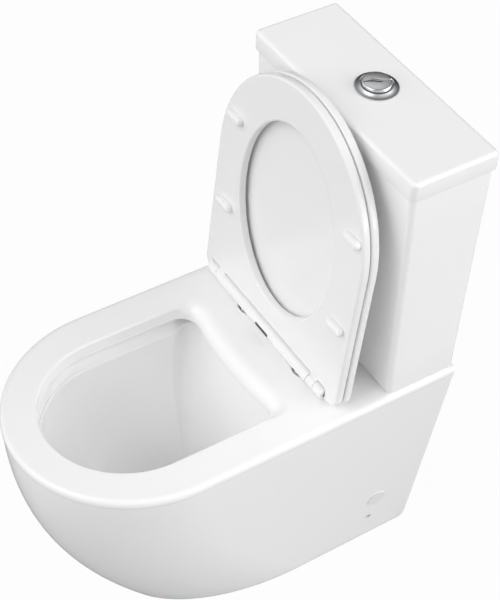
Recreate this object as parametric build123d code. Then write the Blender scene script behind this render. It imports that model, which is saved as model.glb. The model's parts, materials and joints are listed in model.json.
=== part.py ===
from build123d import *
import math
import os

# A close coupled toilet: a back-to-wall pan, a cistern that stands on its deck, a soft-close seat
# and a dual flush. Millimetres. X runs across, +Y points to the wall, Z is up from the floor.
# The origin lies on the floor, midway along the pan. The seat and its lid are drawn raised.

# Pan
PAN_LENGTH = 610.0
PAN_WIDTH = 356.0
RIM_HEIGHT = 408.0
RIM_NOSE = 190.0
RIM_BAND = 14.0
RIM_BAND_STEP = 1.5
RIM_EDGE_R = 8.0
FOOT_INSET = 51.0
FOOT_SETBACK = 156.0
FOOT_NOSE = 250.0
FOOT_REAR_R = 16.0
FRONT_CURVE = 1.9
PAN_WALL = 12.0
DECK_THICKNESS = 20.0

# Bowl, its water guide and its trap
BOWL_SIDE_RIM = 54.0
BOWL_FRONT_RIM = 49.0
BOWL_NOSE = 130.0
BOWL_CORNER_R = 45.0
BOWL_EDGE_R = 10.0
BOWL_WALL = 10.0
DECK_LENGTH = 270.0
DECK_BOW = 8.0
LIP_DEPTH = 28.0
GUIDE_HEIGHT = 14.0
GUIDE_SIDE = 9.0
GUIDE_REAR = 16.0
GUIDE_LEDGE = 2.0
GUIDE_FADE = 26.0
SUMP_FLOOR = 125.0
SUMP_WIDTH = 90.0
SUMP_LENGTH = 110.0
SUMP_SETBACK = 20.0
TRAP_R = 27.0
TRAP_WALL = 9.0
TRAP_INLET_RISE = 28.0
TRAP_BEND_R = 45.0
TRAP_RUN = 60.0
TRAP_PEAK = 310.0
TRAP_PEAK_SETBACK = 200.0
OUTLET_HEIGHT = 180.0
OUTLET_R = 51.0
OUTLET_WALL = 7.0
OUTLET_LENGTH = 80.0
OUTLET_SETBACK = 30.0
DUCT_WIDTH = 68.0
DUCT_HEIGHT = 26.0

# Cistern and its lid
CISTERN_INSET = 0.5
CISTERN_SIDE_TAPER = 4.0
CISTERN_DEPTH = 127.5
CISTERN_FOOT_DEPTH = 112.0
CISTERN_HEIGHT = 377.0
CISTERN_WALL = 9.0
CISTERN_BASE = 12.0
CISTERN_FRONT_R = 9.0
CISTERN_REAR_R = 6.0
CISTERN_FOOT_R = 5.0
CORNER_MIN_R = 0.5
WALL_GAP = 3.0
LID_THICKNESS = 29.0
LID_OVERHANG = 3.5
LID_TOP_WALL = 10.0
LID_EDGE_R = 6.0
LID_LIP = 6.0
LID_LIP_WALL = 5.0
LID_LIP_PLAY = 2.0

# Seat, lid and hinge
SEAT_INSET = 7.0
SEAT_OFFSET = -9.0
SEAT_REACH = 418.0
SEAT_NOSE = 188.0
SEAT_TAIL = 7.0
SEAT_CORNER_R = 18.0
SEAT_THICKNESS = 13.0
SEAT_EDGE_R = 4.0
SEAT_SIDE_RING = 60.0
SEAT_FRONT_RING = 61.0
SEAT_REAR_RING = 49.0
SEAT_BUFFER_HEIGHT = 10.0
SEAT_LEAN = 4.0
BUFFER_LENGTH = 40.0
BUFFER_WIDTH = 12.0
BUFFER_INSET = 32.0
BUFFER_REAR_REACH = 134.0
BUFFER_FRONT_SETBACK = 130.0
BUFFER_PLAY = 0.4
SEAT_LID_GROW = 1.0
SEAT_LID_THICKNESS = 14.0
SEAT_LID_EDGE_R = 5.0
SEAT_LID_DISH = 3.0
SEAT_LID_BORDER = 26.0
SEAT_LID_GAP = 1.5
LID_BUFFER_R = 8.0
LID_BUFFER_SETBACK = 25.0
LID_BUFFER_SPREAD = 110.0
HINGE_SETBACK = 197.0
HINGE_RISE = 12.0
HINGE_OFFSET = -13.5
BAR_LENGTH = 223.0
BAR_R = 10.0
EAR_R = 9.5
SEAT_EAR = 16.5
LID_EAR = 19.5
EAR_GAP = 0.4
HINGE_POCKET = 2.5
DAMPER_R = 6.4
DAMPER_LENGTH = 20.0
SHAFT_R = 3.5
MOUNT_SPREAD = 142.0
MOUNT_PLATE_R = 17.0
MOUNT_PLATE = 1.5
PILLAR_R = 6.0
PILLAR_DEPTH = 11.0
STUD_R = 4.0
STUD_SHIFT = 7.0
STUD_LENGTH = 44.0
STUD_HOLE_R = 8.0
RELEASE_WIDTH = 32.0
RELEASE_HEIGHT = 6.0
RELEASE_DEPTH = 6.0
RELEASE_TRAVEL = 3.0

# Flush button
BUTTON_R = 20.0
BUTTON_HEIGHT = 17.0
BUTTON_RISE = 11.0
BUTTON_WALL = 2.0
BUTTON_TRAVEL = 7.0
BUTTON_SPLIT_TURN = -21.0
BUTTON_SPLIT_SWAY = 2.5
BUTTON_SPLIT_GAP = 0.6
BUTTON_PLAY = 0.4
BEZEL_R = 30.0
BEZEL_TOP_R = 22.0
BEZEL_HEIGHT = 5.5
BEZEL_LIP = 2.0
SLEEVE_WALL = 1.7
SLEEVE_LENGTH = 32.0
SLEEVE_PLATE = 3.0
CLAMP_NUT_R = 31.0
CLAMP_NUT_HEIGHT = 8.0
PUSH_ROD_R = 2.5
PUSH_ROD_SPREAD = 20.0
PUSH_ROD_SOCKET = 8.0
BOSS_R = 4.6
BOSS_DROP = 18.0
SPRING_WIRE_R = 0.45
SPRING_R = 3.9
SPRING_TURNS = 6

# Flush valve and fill valve
FLUSH_SETBACK = 62.0
VALVE_TAIL_R = 25.0
VALVE_BORE_R = 20.0
VALVE_TAIL = 26.0
VALVE_FLANGE_R = 36.0
VALVE_FLANGE = 4.5
VALVE_CAGE = 33.0
GASKET = 2.5
SEAT_LIP = 3.0
SEAT_LIP_WALL = 2.5
SEAL_THICKNESS = 2.0
BACKNUT_R = 37.0
BACKNUT_HEIGHT = 13.0
COUPLING_SEAL_R = 46.5
COUPLING_SEAL_HEIGHT = 17.0
TOWER_R = 33.0
TOWER_WALL = 3.0
TOWER_HEIGHT = 280.0
TOWER_PLATE = 4.0
PLUNGER_R = 24.0
PLUNGER_DISC = 4.0
OVERFLOW_R = 12.0
OVERFLOW_WALL = 2.0
LIFT_ROD_R = 4.0
LEVER_ARM = 18.0
LEVER_RISE = 18.0
LEVER_WIDTH = 6.0
LEVER_THICKNESS = 5.0
LEVER_PIN_R = 1.5
LEVER_PLAY = 0.7
CHEEK = 3.0
CHEEK_PLAY = 1.2
HALF_FLOAT_R = 7.0
HALF_FLOAT_HEIGHT = 40.0
HALF_FLOAT_X = -22.0
HALF_FLOAT_BACK = 36.0
HALF_FLOAT_DROP = 30.0
HALF_ROD_R = 2.0
FILL_INSET = 49.5
INLET_R = 10.48
INLET_LENGTH = 58.0
INLET_NECK_R = 10.2
INLET_BORE_R = 6.0
INLET_NUT_R = 17.0
INLET_NUT_HEIGHT = 9.0
INLET_ACCESS_R = 21.0
RISER_R = 9.0
RISER_HEIGHT = 280.0
FILL_HEAD_R = 16.0
FILL_HEAD_HEIGHT = 30.0
FLOAT_R = 25.0
FLOAT_HEIGHT = 50.0
FLOAT_TRAVEL = 10.0
FLOAT_ARM = 30.0
FLOAT_PIVOT_X = 10.0
FLOAT_LINK_R = 1.5
FLOAT_COLLAR_R = 2.6
FLOAT_COLLAR_PLAY = 1.5
FLOAT_LEVER_RISE = 14.0
FLOAT_LEVER_THICKNESS = 4.0

# Fixings
BOLT_SPREAD = 164.0
BOLT_R = 4.0
BOLT_HEAD_R = 10.0
BOLT_HEAD = 4.0
BOLT_HOLE_R = 6.0
BOLT_LENGTH = 56.0
RUBBER_WASHER = 3.0
WASHER_R = 13.0
NUT_R = 9.0
NUT_HEIGHT = 10.0
WING_SPAN = 30.0
WING = 3.0
CAP_R = 15.5
CAP_THICKNESS = 1.6
CAP_PLUG_R = 12.8
CAP_PLUG = 7.0
CAP_HEIGHT = 112.0
CAP_SETBACK = 76.0
SCREW_R = 2.5
SCREW_HEAD_R = 4.4
SCREW_HEAD = 3.0
SCREW_LENGTH = 26.0
SCREW_SINK = 3.0
SCREW_HOLE_R = 5.0
SCREW_HEIGHT = 60.0
SCREW_SETBACK = 80.0
BRACKET_WIDTH = 40.0
BRACKET_FOOT = 52.0
BRACKET_THICKNESS = 6.0
BRACKET_HEIGHT = 84.0
BRACKET_HOLE_R = 4.0
BRACKET_HOLE_SPREAD = 176.0

# Clearances
RUN_FIT = 0.06
SLIDE_GAP = 0.4
SEAT_GAP = 0.1

# Sizes and places that follow from the sizes above
FOOT_WIDTH = PAN_WIDTH - 2 * FOOT_INSET
BOWL_WIDTH = PAN_WIDTH - 2 * BOWL_SIDE_RIM
CISTERN_WIDTH = PAN_WIDTH - 2 * CISTERN_INSET
CISTERN_FOOT_WIDTH = CISTERN_WIDTH - 2 * CISTERN_SIDE_TAPER
SEAT_WIDTH = PAN_WIDTH - 2 * SEAT_INSET
SEAT_HOLE_WIDTH = SEAT_WIDTH - 2 * SEAT_SIDE_RING
SEAT_HOLE_LENGTH = SEAT_REACH - SEAT_FRONT_RING - SEAT_REAR_RING
SEAT_HOLE_REACH = SEAT_REAR_RING + SEAT_HOLE_LENGTH / 2
BUFFER_SPREAD = SEAT_WIDTH - 2 * BUFFER_INSET
BUFFER_REACHES = (BUFFER_REAR_REACH, SEAT_REACH - BUFFER_FRONT_SETBACK)
LID_BUFFER_REACH = SEAT_REACH - LID_BUFFER_SETBACK
FILL_X = FILL_INSET - CISTERN_WIDTH / 2
WALL_Y = PAN_LENGTH / 2
NOSE_Y = -PAN_LENGTH / 2
BODY_TOP = RIM_HEIGHT - RIM_BAND
DECK_UNDER = RIM_HEIGHT - DECK_THICKNESS
BOWL_FRONT = NOSE_Y + BOWL_FRONT_RIM
BOWL_REAR = WALL_Y - DECK_LENGTH
GUIDE_TOP = RIM_HEIGHT - LIP_DEPTH
LEDGE_Z = GUIDE_TOP - GUIDE_HEIGHT
OUTLET_REAR = WALL_Y - OUTLET_SETBACK
OUTLET_FRONT = OUTLET_REAR - OUTLET_LENGTH
DUCT_TOP = GUIDE_TOP - GUIDE_LEDGE
DUCT_FLOOR = DUCT_TOP - DUCT_HEIGHT
SIDE_LEAN = math.degrees(math.atan2(PAN_WIDTH / 2 - RIM_BAND_STEP - FOOT_WIDTH / 2, BODY_TOP))
HINGE_Y = WALL_Y - HINGE_SETBACK
HINGE_Z = RIM_HEIGHT + HINGE_RISE
STUD_Y = HINGE_Y + STUD_SHIFT
BAR_LEFT = HINGE_OFFSET - BAR_LENGTH / 2
BAR_RIGHT = HINGE_OFFSET + BAR_LENGTH / 2
EARS = SEAT_EAR + LID_EAR + 2 * EAR_GAP
SEAT_UNDER = RIM_HEIGHT + SEAT_BUFFER_HEIGHT
SEAT_TOP = SEAT_UNDER + SEAT_THICKNESS
LID_UNDER = SEAT_TOP + SEAT_LID_GAP
CISTERN_TOP = RIM_HEIGHT + CISTERN_HEIGHT
CISTERN_FLOOR = RIM_HEIGHT + CISTERN_BASE
CISTERN_REAR = WALL_Y - WALL_GAP
LID_TOP = CISTERN_TOP + LID_THICKNESS
LID_CEILING = LID_TOP - LID_TOP_WALL
FLUSH_Y = WALL_Y - FLUSH_SETBACK
SLEEVE_BORE_R = BUTTON_R + BUTTON_PLAY
SLEEVE_R = SLEEVE_BORE_R + SLEEVE_WALL
SLEEVE_TOP = LID_TOP + BEZEL_HEIGHT - BEZEL_LIP
SLEEVE_FOOT = SLEEVE_TOP - SLEEVE_LENGTH
BUTTON_TOP = LID_TOP + BUTTON_RISE
BUTTON_FOOT = BUTTON_TOP - BUTTON_HEIGHT
BOSS_FOOT = BUTTON_TOP - BOSS_DROP
FLANGE_TOP = CISTERN_FLOOR + GASKET + VALVE_FLANGE
LIP_TOP = FLANGE_TOP + SEAT_LIP
SEAL_FOOT = LIP_TOP + SLIDE_GAP
DISC_FOOT = SEAL_FOOT + SEAL_THICKNESS
CAGE_TOP = FLANGE_TOP + VALVE_CAGE
TOWER_TOP = CISTERN_FLOOR + TOWER_HEIGHT
PLATE_TOP = TOWER_TOP + TOWER_PLATE
LEVER_Z = PLATE_TOP + LEVER_RISE
LEVER_Y = FLUSH_Y + LEVER_ARM
LEVER_TOP = LEVER_Z + LEVER_THICKNESS / 2
LEVER_X = PUSH_ROD_SPREAD / 2
LIFT_FOOT = LEVER_TOP + LEVER_PLAY
RISER_TOP = CISTERN_FLOOR + RISER_HEIGHT
HEAD_TOP = RISER_TOP + FILL_HEAD_HEIGHT
FLOAT_LEVER_Z = HEAD_TOP + FLOAT_LEVER_RISE
FLOAT_TOP = RISER_TOP - SLIDE_GAP - FLOAT_TRAVEL
LINK_X = FILL_X + FLOAT_PIVOT_X - FLOAT_ARM

UPRIGHT = (Align.CENTER, Align.CENTER, Align.MIN)
CORNER = (Align.MIN, Align.MIN, Align.MIN)


def rod(x, y, z0, z1, r):
    """Upright cylinder between two heights."""
    return Pos(x, y, z0) * Cylinder(r, z1 - z0, align=UPRIGHT)


def tube(x, y, z0, z1, r_out, r_in):
    """Upright tube between two heights."""
    return rod(x, y, z0, z1, r_out) - rod(x, y, z0, z1, r_in)


def rod_x(x0, x1, y, z, r):
    """Cylinder along X between two places."""
    return Pos(x0, y, z) * Rot(0, 90, 0) * Cylinder(r, x1 - x0, align=UPRIGHT)


def rod_y(y0, y1, x, z, r):
    """Cylinder along Y between two places."""
    return Pos(x, y0, z) * Rot(-90, 0, 0) * Cylinder(r, y1 - y0, align=UPRIGHT)


def block(x0, x1, y0, y1, z0, z1):
    """Box between two opposite corners."""
    return Pos(x0, y0, z0) * Box(x1 - x0, y1 - y0, z1 - z0, align=CORNER)


def group(*solids):
    """Separate solids kept side by side as one piece."""
    return Compound(children=[part for solid in solids for part in solid.solids()])


def d_face(half, front, nose, rear):
    """D-shaped face: a straight rear, straight sides and an elliptical nose."""
    nose_y = front + nose
    edges = Line((half, rear), (-half, rear))
    edges += Line((-half, rear), (-half, nose_y))
    edges += EllipticalCenterArc((0, nose_y), half, nose, start_angle=180, arc_size=180)
    edges += Line((half, nose_y), (half, rear))
    return make_face(edges)


def bowl_face(half, front, nose, rear, corner):
    """D-shaped face with rounded rear corners."""
    nose_y = front + nose
    edges = CenterArc((half - corner, rear - corner), corner, 0, 90)
    edges += Line((half - corner, rear), (corner - half, rear))
    edges += CenterArc((corner - half, rear - corner), corner, 90, 90)
    edges += Line((-half, rear - corner), (-half, nose_y))
    edges += EllipticalCenterArc((0, nose_y), half, nose, start_angle=180, arc_size=180)
    edges += Line((half, nose_y), (half, rear - corner))
    return make_face(edges)


def prism(face, z0, z1):
    """Flat face drawn up between two heights."""
    return extrude(Pos(0, 0, z0) * face, z1 - z0)


# Pan

def pan_section(z, inset, rear):
    """Outline of the pan at one height: the sides taper and the front curves under to the foot."""
    up = z / BODY_TOP
    top_half = PAN_WIDTH / 2 - RIM_BAND_STEP
    half = FOOT_WIDTH / 2 + (top_half - FOOT_WIDTH / 2) * up - inset
    front = NOSE_Y + RIM_BAND_STEP + FOOT_SETBACK * (1 - up) ** FRONT_CURVE + inset
    nose = FOOT_NOSE + (RIM_NOSE - FOOT_NOSE) * up - inset
    return Pos(0, 0, z) * d_face(half, front, nose, rear)


def pan_body():
    """Hollow body below the rim band, open at the floor and at the wall."""
    steps = (0.0, 0.25, 0.5, 0.75, 1.0)
    outside = loft([pan_section(BODY_TOP * step, 0, WALL_Y) for step in steps])
    inside = loft([pan_section(DECK_UNDER * step, PAN_WALL, WALL_Y + PAN_WALL) for step in steps])
    rear = WALL_Y - FOOT_REAR_R
    corner = block(-PAN_WIDTH, PAN_WIDTH, rear, WALL_Y, 0, FOOT_REAR_R)
    corner -= rod_x(-PAN_WIDTH, PAN_WIDTH, rear, FOOT_REAR_R, FOOT_REAR_R)
    return outside - inside - corner


def bowl_opening(grow=0.0, rear_grow=0.0, fade=0.0):
    """Opening of the bowl, seen from above, whose edge at the deck bows towards the nose."""
    half = BOWL_WIDTH / 2 + grow
    rear = BOWL_REAR + rear_grow
    nose_y = BOWL_FRONT + BOWL_NOSE
    edges = ThreePointArc((half, rear), (0, rear - DECK_BOW), (-half, rear))
    edges += Line((-half, rear), (-half, nose_y))
    edges += EllipticalCenterArc((0, nose_y), half, BOWL_NOSE - fade, start_angle=180, arc_size=180)
    edges += Line((half, nose_y), (half, rear))
    face = make_face(edges)
    return fillet(face.vertices().group_by(Axis.Y)[-1], BOWL_CORNER_R)


def rim_band():
    """Top band of the rim with its rounded edges."""
    slab = prism(d_face(PAN_WIDTH / 2, NOSE_Y, RIM_NOSE, WALL_Y), BODY_TOP, RIM_HEIGHT)
    top = slab.faces().sort_by(Axis.Z)[-1]
    slab = fillet([e for e in top.edges() if e.center().Y < WALL_Y - 1], RIM_EDGE_R)
    slab -= prism(bowl_opening(), BODY_TOP, RIM_HEIGHT)
    top = slab.faces().sort_by(Axis.Z)[-1]
    return fillet(top.inner_wires()[0].edges(), BOWL_EDGE_R)


def bowl_section(down, grow):
    """Outline inside the bowl, from the ledge (0) to the floor of the sump (1)."""
    top_half = BOWL_WIDTH / 2 - GUIDE_LEDGE
    half = top_half + (SUMP_WIDTH / 2 - top_half) * down ** 1.6
    ledge_rear = BOWL_REAR + GUIDE_REAR - GUIDE_LEDGE
    sump_rear = BOWL_REAR - SUMP_SETBACK
    rear = ledge_rear + (sump_rear - ledge_rear) * down
    ledge_front = BOWL_FRONT + GUIDE_LEDGE
    front = ledge_front + (sump_rear - SUMP_LENGTH - ledge_front) * down ** 1.5
    nose = BOWL_NOSE + (SUMP_WIDTH / 2 - BOWL_NOSE) * down
    corner = BOWL_CORNER_R + (SUMP_WIDTH / 3 - BOWL_CORNER_R) * down
    z = LEDGE_Z + (SUMP_FLOOR - LEDGE_Z) * down
    face = bowl_face(half + grow, front - grow, nose + grow, rear + grow, corner + grow)
    return Pos(0, 0, z - grow * down) * face


def bowl_form(grow):
    """Inside of the bowl below the ledge, or its outside when grown by the wall."""
    return loft([bowl_section(down, grow) for down in (0.0, 0.25, 0.5, 0.75, 1.0)])


def trap_form(r):
    """Trapway: out of the sump, up over the weir and down to the front of the outlet."""
    start_y = BOWL_REAR - SUMP_SETBACK - SUMP_LENGTH / 2
    start_z = SUMP_FLOOR + TRAP_INLET_RISE
    peak_y = WALL_Y - TRAP_PEAK_SETBACK
    places = [(start_y, start_z), (start_y + TRAP_RUN, start_z), (peak_y, TRAP_PEAK)]
    places += [(OUTLET_FRONT - TRAP_R - TRAP_WALL, OUTLET_HEIGHT), (OUTLET_FRONT, OUTLET_HEIGHT)]
    path = FilletPolyline(*[(0, y, z) for y, z in places], radius=TRAP_BEND_R)
    return sweep(Plane(path @ 0, z_dir=path % 0) * Circle(r), path)


def water_way_outside():
    """Outside of the bowl, the trapway and the soil outlet."""
    outlet = rod_y(OUTLET_FRONT, OUTLET_REAR, 0, OUTLET_HEIGHT, OUTLET_R)
    return bowl_form(BOWL_WALL) + (trap_form(TRAP_R + TRAP_WALL) + outlet)


def water_way_inside():
    """Space inside the bowl, the trapway and the soil outlet."""
    bore_front = OUTLET_FRONT + OUTLET_WALL
    outlet = rod_y(OUTLET_FRONT, bore_front, 0, OUTLET_HEIGHT, TRAP_R)
    outlet += rod_y(bore_front, OUTLET_REAR, 0, OUTLET_HEIGHT, OUTLET_R - OUTLET_WALL)
    return bowl_form(0) + (trap_form(TRAP_R) + outlet)


def flush_way(wall):
    """Water way from the cistern's outlet to the back of the bowl, or its outside with a wall."""
    half = DUCT_WIDTH / 2 + wall
    floor = DUCT_FLOOR - wall
    front = BOWL_REAR + GUIDE_REAR - BOWL_WALL / 2 + wall / 2
    way = block(-half, half, front, FLUSH_Y, floor, DUCT_TOP if wall == 0 else DECK_UNDER)
    return way + rod(0, FLUSH_Y, floor, DECK_UNDER, half)


def side_place(side, setback, height):
    """Place on the outside of a pan side, with its Z axis pointing out of the wall."""
    half = FOOT_WIDTH / 2 + math.tan(math.radians(SIDE_LEAN)) * height
    return Pos(side * half, WALL_Y - setback, height) * Rot(0, side * (90 + SIDE_LEAN), 0)


def pan():
    """Vitreous china pan: body, rim, bowl, trapway, outlet and flush way in one casting."""
    collar_half = BOWL_WIDTH / 2 + GUIDE_SIDE + BOWL_WALL
    collar = bowl_face(collar_half, BOWL_FRONT - BOWL_WALL, BOWL_NOSE + BOWL_WALL,
                       BOWL_REAR + GUIDE_REAR + BOWL_WALL, BOWL_CORNER_R + BOWL_WALL)
    body = pan_body() + prism(collar, LEDGE_Z - BOWL_WALL, DECK_UNDER) + flush_way(BOWL_WALL)
    body = body - bowl_form(0) + (water_way_outside() - water_way_inside())
    body -= flush_way(0)
    body -= prism(bowl_opening(GUIDE_SIDE, GUIDE_REAR, GUIDE_FADE), LEDGE_Z, GUIDE_TOP)
    body -= prism(bowl_opening(), LEDGE_Z, BODY_TOP)
    body += rim_band()
    socket = RIM_HEIGHT - COUPLING_SEAL_HEIGHT
    body -= rod(0, FLUSH_Y, socket, RIM_HEIGHT, COUPLING_SEAL_R + SLIDE_GAP)
    body -= rod(0, FLUSH_Y, DUCT_FLOOR, RIM_HEIGHT, DUCT_WIDTH / 2)
    for side in (-1, 1):
        body -= rod(side * BOLT_SPREAD / 2, FLUSH_Y, DECK_UNDER, RIM_HEIGHT, BOLT_HOLE_R)
        body -= rod(side * MOUNT_SPREAD / 2, STUD_Y, DECK_UNDER, RIM_HEIGHT, STUD_HOLE_R)
        cap_hole = Cylinder(CAP_PLUG_R + SEAT_GAP, 3 * PAN_WALL)
        body -= side_place(side, CAP_SETBACK, CAP_HEIGHT) * cap_hole
        body -= side_place(side, SCREW_SETBACK, SCREW_HEIGHT) * Cylinder(SCREW_HOLE_R, 3 * PAN_WALL)
    return body - rod(FILL_X, FLUSH_Y, DECK_UNDER, RIM_HEIGHT, INLET_ACCESS_R)


# Cistern

def tank_face(width, depth, inset=0.0):
    """Cistern outline with rounded corners, a little rounder at the front than at the wall."""
    half = width / 2 - inset
    rear = CISTERN_REAR - inset
    front = CISTERN_REAR - depth + inset
    front_r = max(CISTERN_FRONT_R - inset, CORNER_MIN_R)
    rear_r = max(CISTERN_REAR_R - inset, CORNER_MIN_R)
    edges = Line((half - rear_r, rear), (rear_r - half, rear))
    edges += CenterArc((rear_r - half, rear - rear_r), rear_r, 90, 90)
    edges += Line((-half, rear - rear_r), (-half, front + front_r))
    edges += CenterArc((front_r - half, front + front_r), front_r, 180, 90)
    edges += Line((front_r - half, front), (half - front_r, front))
    edges += CenterArc((half - front_r, front + front_r), front_r, 270, 90)
    edges += Line((half, front + front_r), (half, rear - rear_r))
    edges += CenterArc((half - rear_r, rear - rear_r), rear_r, 0, 90)
    return make_face(edges)


def tank_form(z0, inset):
    """Tapered body of the cistern from a height up to its rim."""
    up = (z0 - RIM_HEIGHT) / CISTERN_HEIGHT
    width = CISTERN_FOOT_WIDTH + (CISTERN_WIDTH - CISTERN_FOOT_WIDTH) * up
    depth = CISTERN_FOOT_DEPTH + (CISTERN_DEPTH - CISTERN_FOOT_DEPTH) * up
    low = Pos(0, 0, z0) * tank_face(width, depth, inset)
    high = Pos(0, 0, CISTERN_TOP) * tank_face(CISTERN_WIDTH, CISTERN_DEPTH, inset)
    return loft([low, high], ruled=True)


def cistern():
    """Vitreous china tank, open at the top, with its holes in the base."""
    tank = tank_form(RIM_HEIGHT, 0)
    tank = fillet(tank.faces().sort_by(Axis.Z)[0].edges(), CISTERN_FOOT_R)
    tank -= tank_form(CISTERN_FLOOR, CISTERN_WALL)
    tank -= rod(0, FLUSH_Y, RIM_HEIGHT, CISTERN_FLOOR, VALVE_TAIL_R + 2)
    tank -= rod(FILL_X, FLUSH_Y, RIM_HEIGHT, CISTERN_FLOOR, INLET_R + 1)
    for side in (-1, 1):
        tank -= rod(side * BOLT_SPREAD / 2, FLUSH_Y, RIM_HEIGHT, CISTERN_FLOOR, BOLT_HOLE_R)
    return tank


def cistern_lid():
    """Vitreous china lid with a rounded top edge, a hollow underside and a locating lip."""
    depth = CISTERN_DEPTH + LID_OVERHANG + WALL_GAP
    width = CISTERN_WIDTH + 2 * LID_OVERHANG
    outline = Pos(0, WALL_GAP, 0) * tank_face(width, depth)
    lid = prism(outline, CISTERN_TOP, LID_TOP)
    lid = fillet(lid.faces().sort_by(Axis.Z)[-1].edges(), LID_EDGE_R)
    lid = fillet(lid.faces().sort_by(Axis.Z)[0].edges(), LID_EDGE_R / 4)
    lip_inset = CISTERN_WALL + LID_LIP_PLAY
    lid += prism(tank_face(CISTERN_WIDTH, CISTERN_DEPTH, lip_inset), CISTERN_TOP - LID_LIP, CISTERN_TOP)
    hollow = tank_face(CISTERN_WIDTH, CISTERN_DEPTH, lip_inset + LID_LIP_WALL)
    lid -= prism(hollow, CISTERN_TOP - LID_LIP, LID_CEILING)
    return lid - rod(0, FLUSH_Y, LID_CEILING, LID_TOP, SLEEVE_R + 1)


# Seat and hinge

def raised(shape):
    """Turns a piece drawn with the seat down to where it stands with the seat up."""
    turn = Rot(-(90 + SEAT_LEAN), 0, 0)
    return Pos(0, HINGE_Y, HINGE_Z) * turn * Pos(0, -HINGE_Y, -HINGE_Z) * shape


def seat_face(grow=0.0):
    """Outline of the seat, or of the lid when grown a little."""
    front = HINGE_Y - SEAT_REACH - grow
    return bowl_face(SEAT_WIDTH / 2 + grow, front, SEAT_NOSE, HINGE_Y + SEAT_TAIL, SEAT_CORNER_R)


def ear_spans(first, length):
    """Left and right spans along the hinge that start a distance out from the bar's ends."""
    near = BAR_RIGHT + first
    far = BAR_LEFT - first
    return [(near, near + length), (far - length, far)]


def seat_ring():
    """Seat ring with its two hinge ears."""
    ring = prism(seat_face(), SEAT_UNDER, SEAT_TOP)
    hole = Ellipse(SEAT_HOLE_WIDTH / 2, SEAT_HOLE_LENGTH / 2)
    ring -= prism(Pos(0, HINGE_Y - SEAT_HOLE_REACH) * hole, SEAT_UNDER, SEAT_TOP)
    ring = fillet([e for f in ring.faces().filter_by(Axis.Z) for e in f.edges()], SEAT_EDGE_R)
    ring = Pos(SEAT_OFFSET, 0, 0) * ring
    pocket_y = HINGE_Y - BAR_R - HINGE_POCKET
    rear_y = HINGE_Y + SEAT_TAIL
    ring -= block(BAR_LEFT - EARS - SLIDE_GAP, BAR_RIGHT + EARS + SLIDE_GAP, pocket_y, rear_y,
                  SEAT_UNDER, SEAT_TOP)
    for x0, x1 in ear_spans(EAR_GAP, SEAT_EAR):
        web = block(x0, x1, pocket_y - SEAT_EDGE_R, HINGE_Y, SEAT_UNDER, SEAT_TOP - SEAT_EDGE_R)
        ring += rod_x(x0, x1, HINGE_Y, HINGE_Z, EAR_R) + web
        ring -= rod_x(x0, x1, HINGE_Y, HINGE_Z, SHAFT_R + RUN_FIT)
    return raised(ring)


def seat_lid():
    """Lid with a dished inside and its two hinge ears."""
    top = LID_UNDER + SEAT_LID_THICKNESS
    lid = prism(seat_face(SEAT_LID_GROW), LID_UNDER, top)
    lid = fillet(lid.faces().sort_by(Axis.Z)[-1].edges(), SEAT_LID_EDGE_R)
    lid = fillet(lid.faces().sort_by(Axis.Z)[0].edges(), SEAT_LID_EDGE_R / 2)
    dish_half = SEAT_WIDTH / 2 - SEAT_LID_BORDER
    dish = bowl_face(dish_half, HINGE_Y - SEAT_REACH + SEAT_LID_BORDER, SEAT_NOSE,
                     HINGE_Y - BAR_R - SEAT_LID_BORDER, BOWL_CORNER_R)
    lid -= prism(dish, LID_UNDER, LID_UNDER + SEAT_LID_DISH)
    lid = Pos(SEAT_OFFSET, 0, 0) * lid
    for x0, x1 in ear_spans(SEAT_EAR + 2 * EAR_GAP, LID_EAR):
        lid += block(x0, x1, HINGE_Y - BAR_R / 2, HINGE_Y + BAR_R / 2, HINGE_Z, LID_UNDER)
        lid += rod_x(x0, x1, HINGE_Y, HINGE_Z, EAR_R)
        lid -= rod_x(x0, x1, HINGE_Y, HINGE_Z, SHAFT_R + RUN_FIT)
    return raised(lid)


def seat_buffers():
    """Four oblong pads under the seat ring."""
    pads = []
    for reach in BUFFER_REACHES:
        for side in (-1, 1):
            pad = SlotOverall(BUFFER_LENGTH, BUFFER_WIDTH)
            place = Pos(SEAT_OFFSET + side * BUFFER_SPREAD / 2, HINGE_Y - reach, 0)
            pads.append(raised(prism(place * pad, RIM_HEIGHT + BUFFER_PLAY, SEAT_UNDER)))
    return group(*pads)


def lid_buffers():
    """Two thin round pads inside the lid that land on the seat ring."""
    foot = SEAT_TOP + BUFFER_PLAY
    y = HINGE_Y - LID_BUFFER_REACH
    spots = [SEAT_OFFSET + side * LID_BUFFER_SPREAD / 2 for side in (-1, 1)]
    return group(*[raised(rod(x, y, foot, LID_UNDER, LID_BUFFER_R)) for x in spots])


def hinge_bar():
    """Barrel across the deck: damper bores in its ends, sockets below, a button slot in front."""
    bar = rod_x(BAR_LEFT, BAR_RIGHT, HINGE_Y, HINGE_Z, BAR_R)
    bar -= rod_x(BAR_LEFT, BAR_LEFT + DAMPER_LENGTH, HINGE_Y, HINGE_Z, DAMPER_R)
    bar -= rod_x(BAR_RIGHT - DAMPER_LENGTH, BAR_RIGHT, HINGE_Y, HINGE_Z, DAMPER_R)
    for side in (-1, 1):
        foot = HINGE_Z - BAR_R
        top = RIM_HEIGHT + MOUNT_PLATE + PILLAR_DEPTH + SLIDE_GAP
        bar -= rod(side * MOUNT_SPREAD / 2, HINGE_Y, foot, top, PILLAR_R + RUN_FIT)
    half = RELEASE_WIDTH / 2
    front = HINGE_Y - BAR_R
    depth = RELEASE_DEPTH + RELEASE_TRAVEL + 2 * SLIDE_GAP
    return bar - block(HINGE_OFFSET - half, HINGE_OFFSET + half, front, front + depth,
                       HINGE_Z - RELEASE_HEIGHT / 2, HINGE_Z + RELEASE_HEIGHT / 2)


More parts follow.
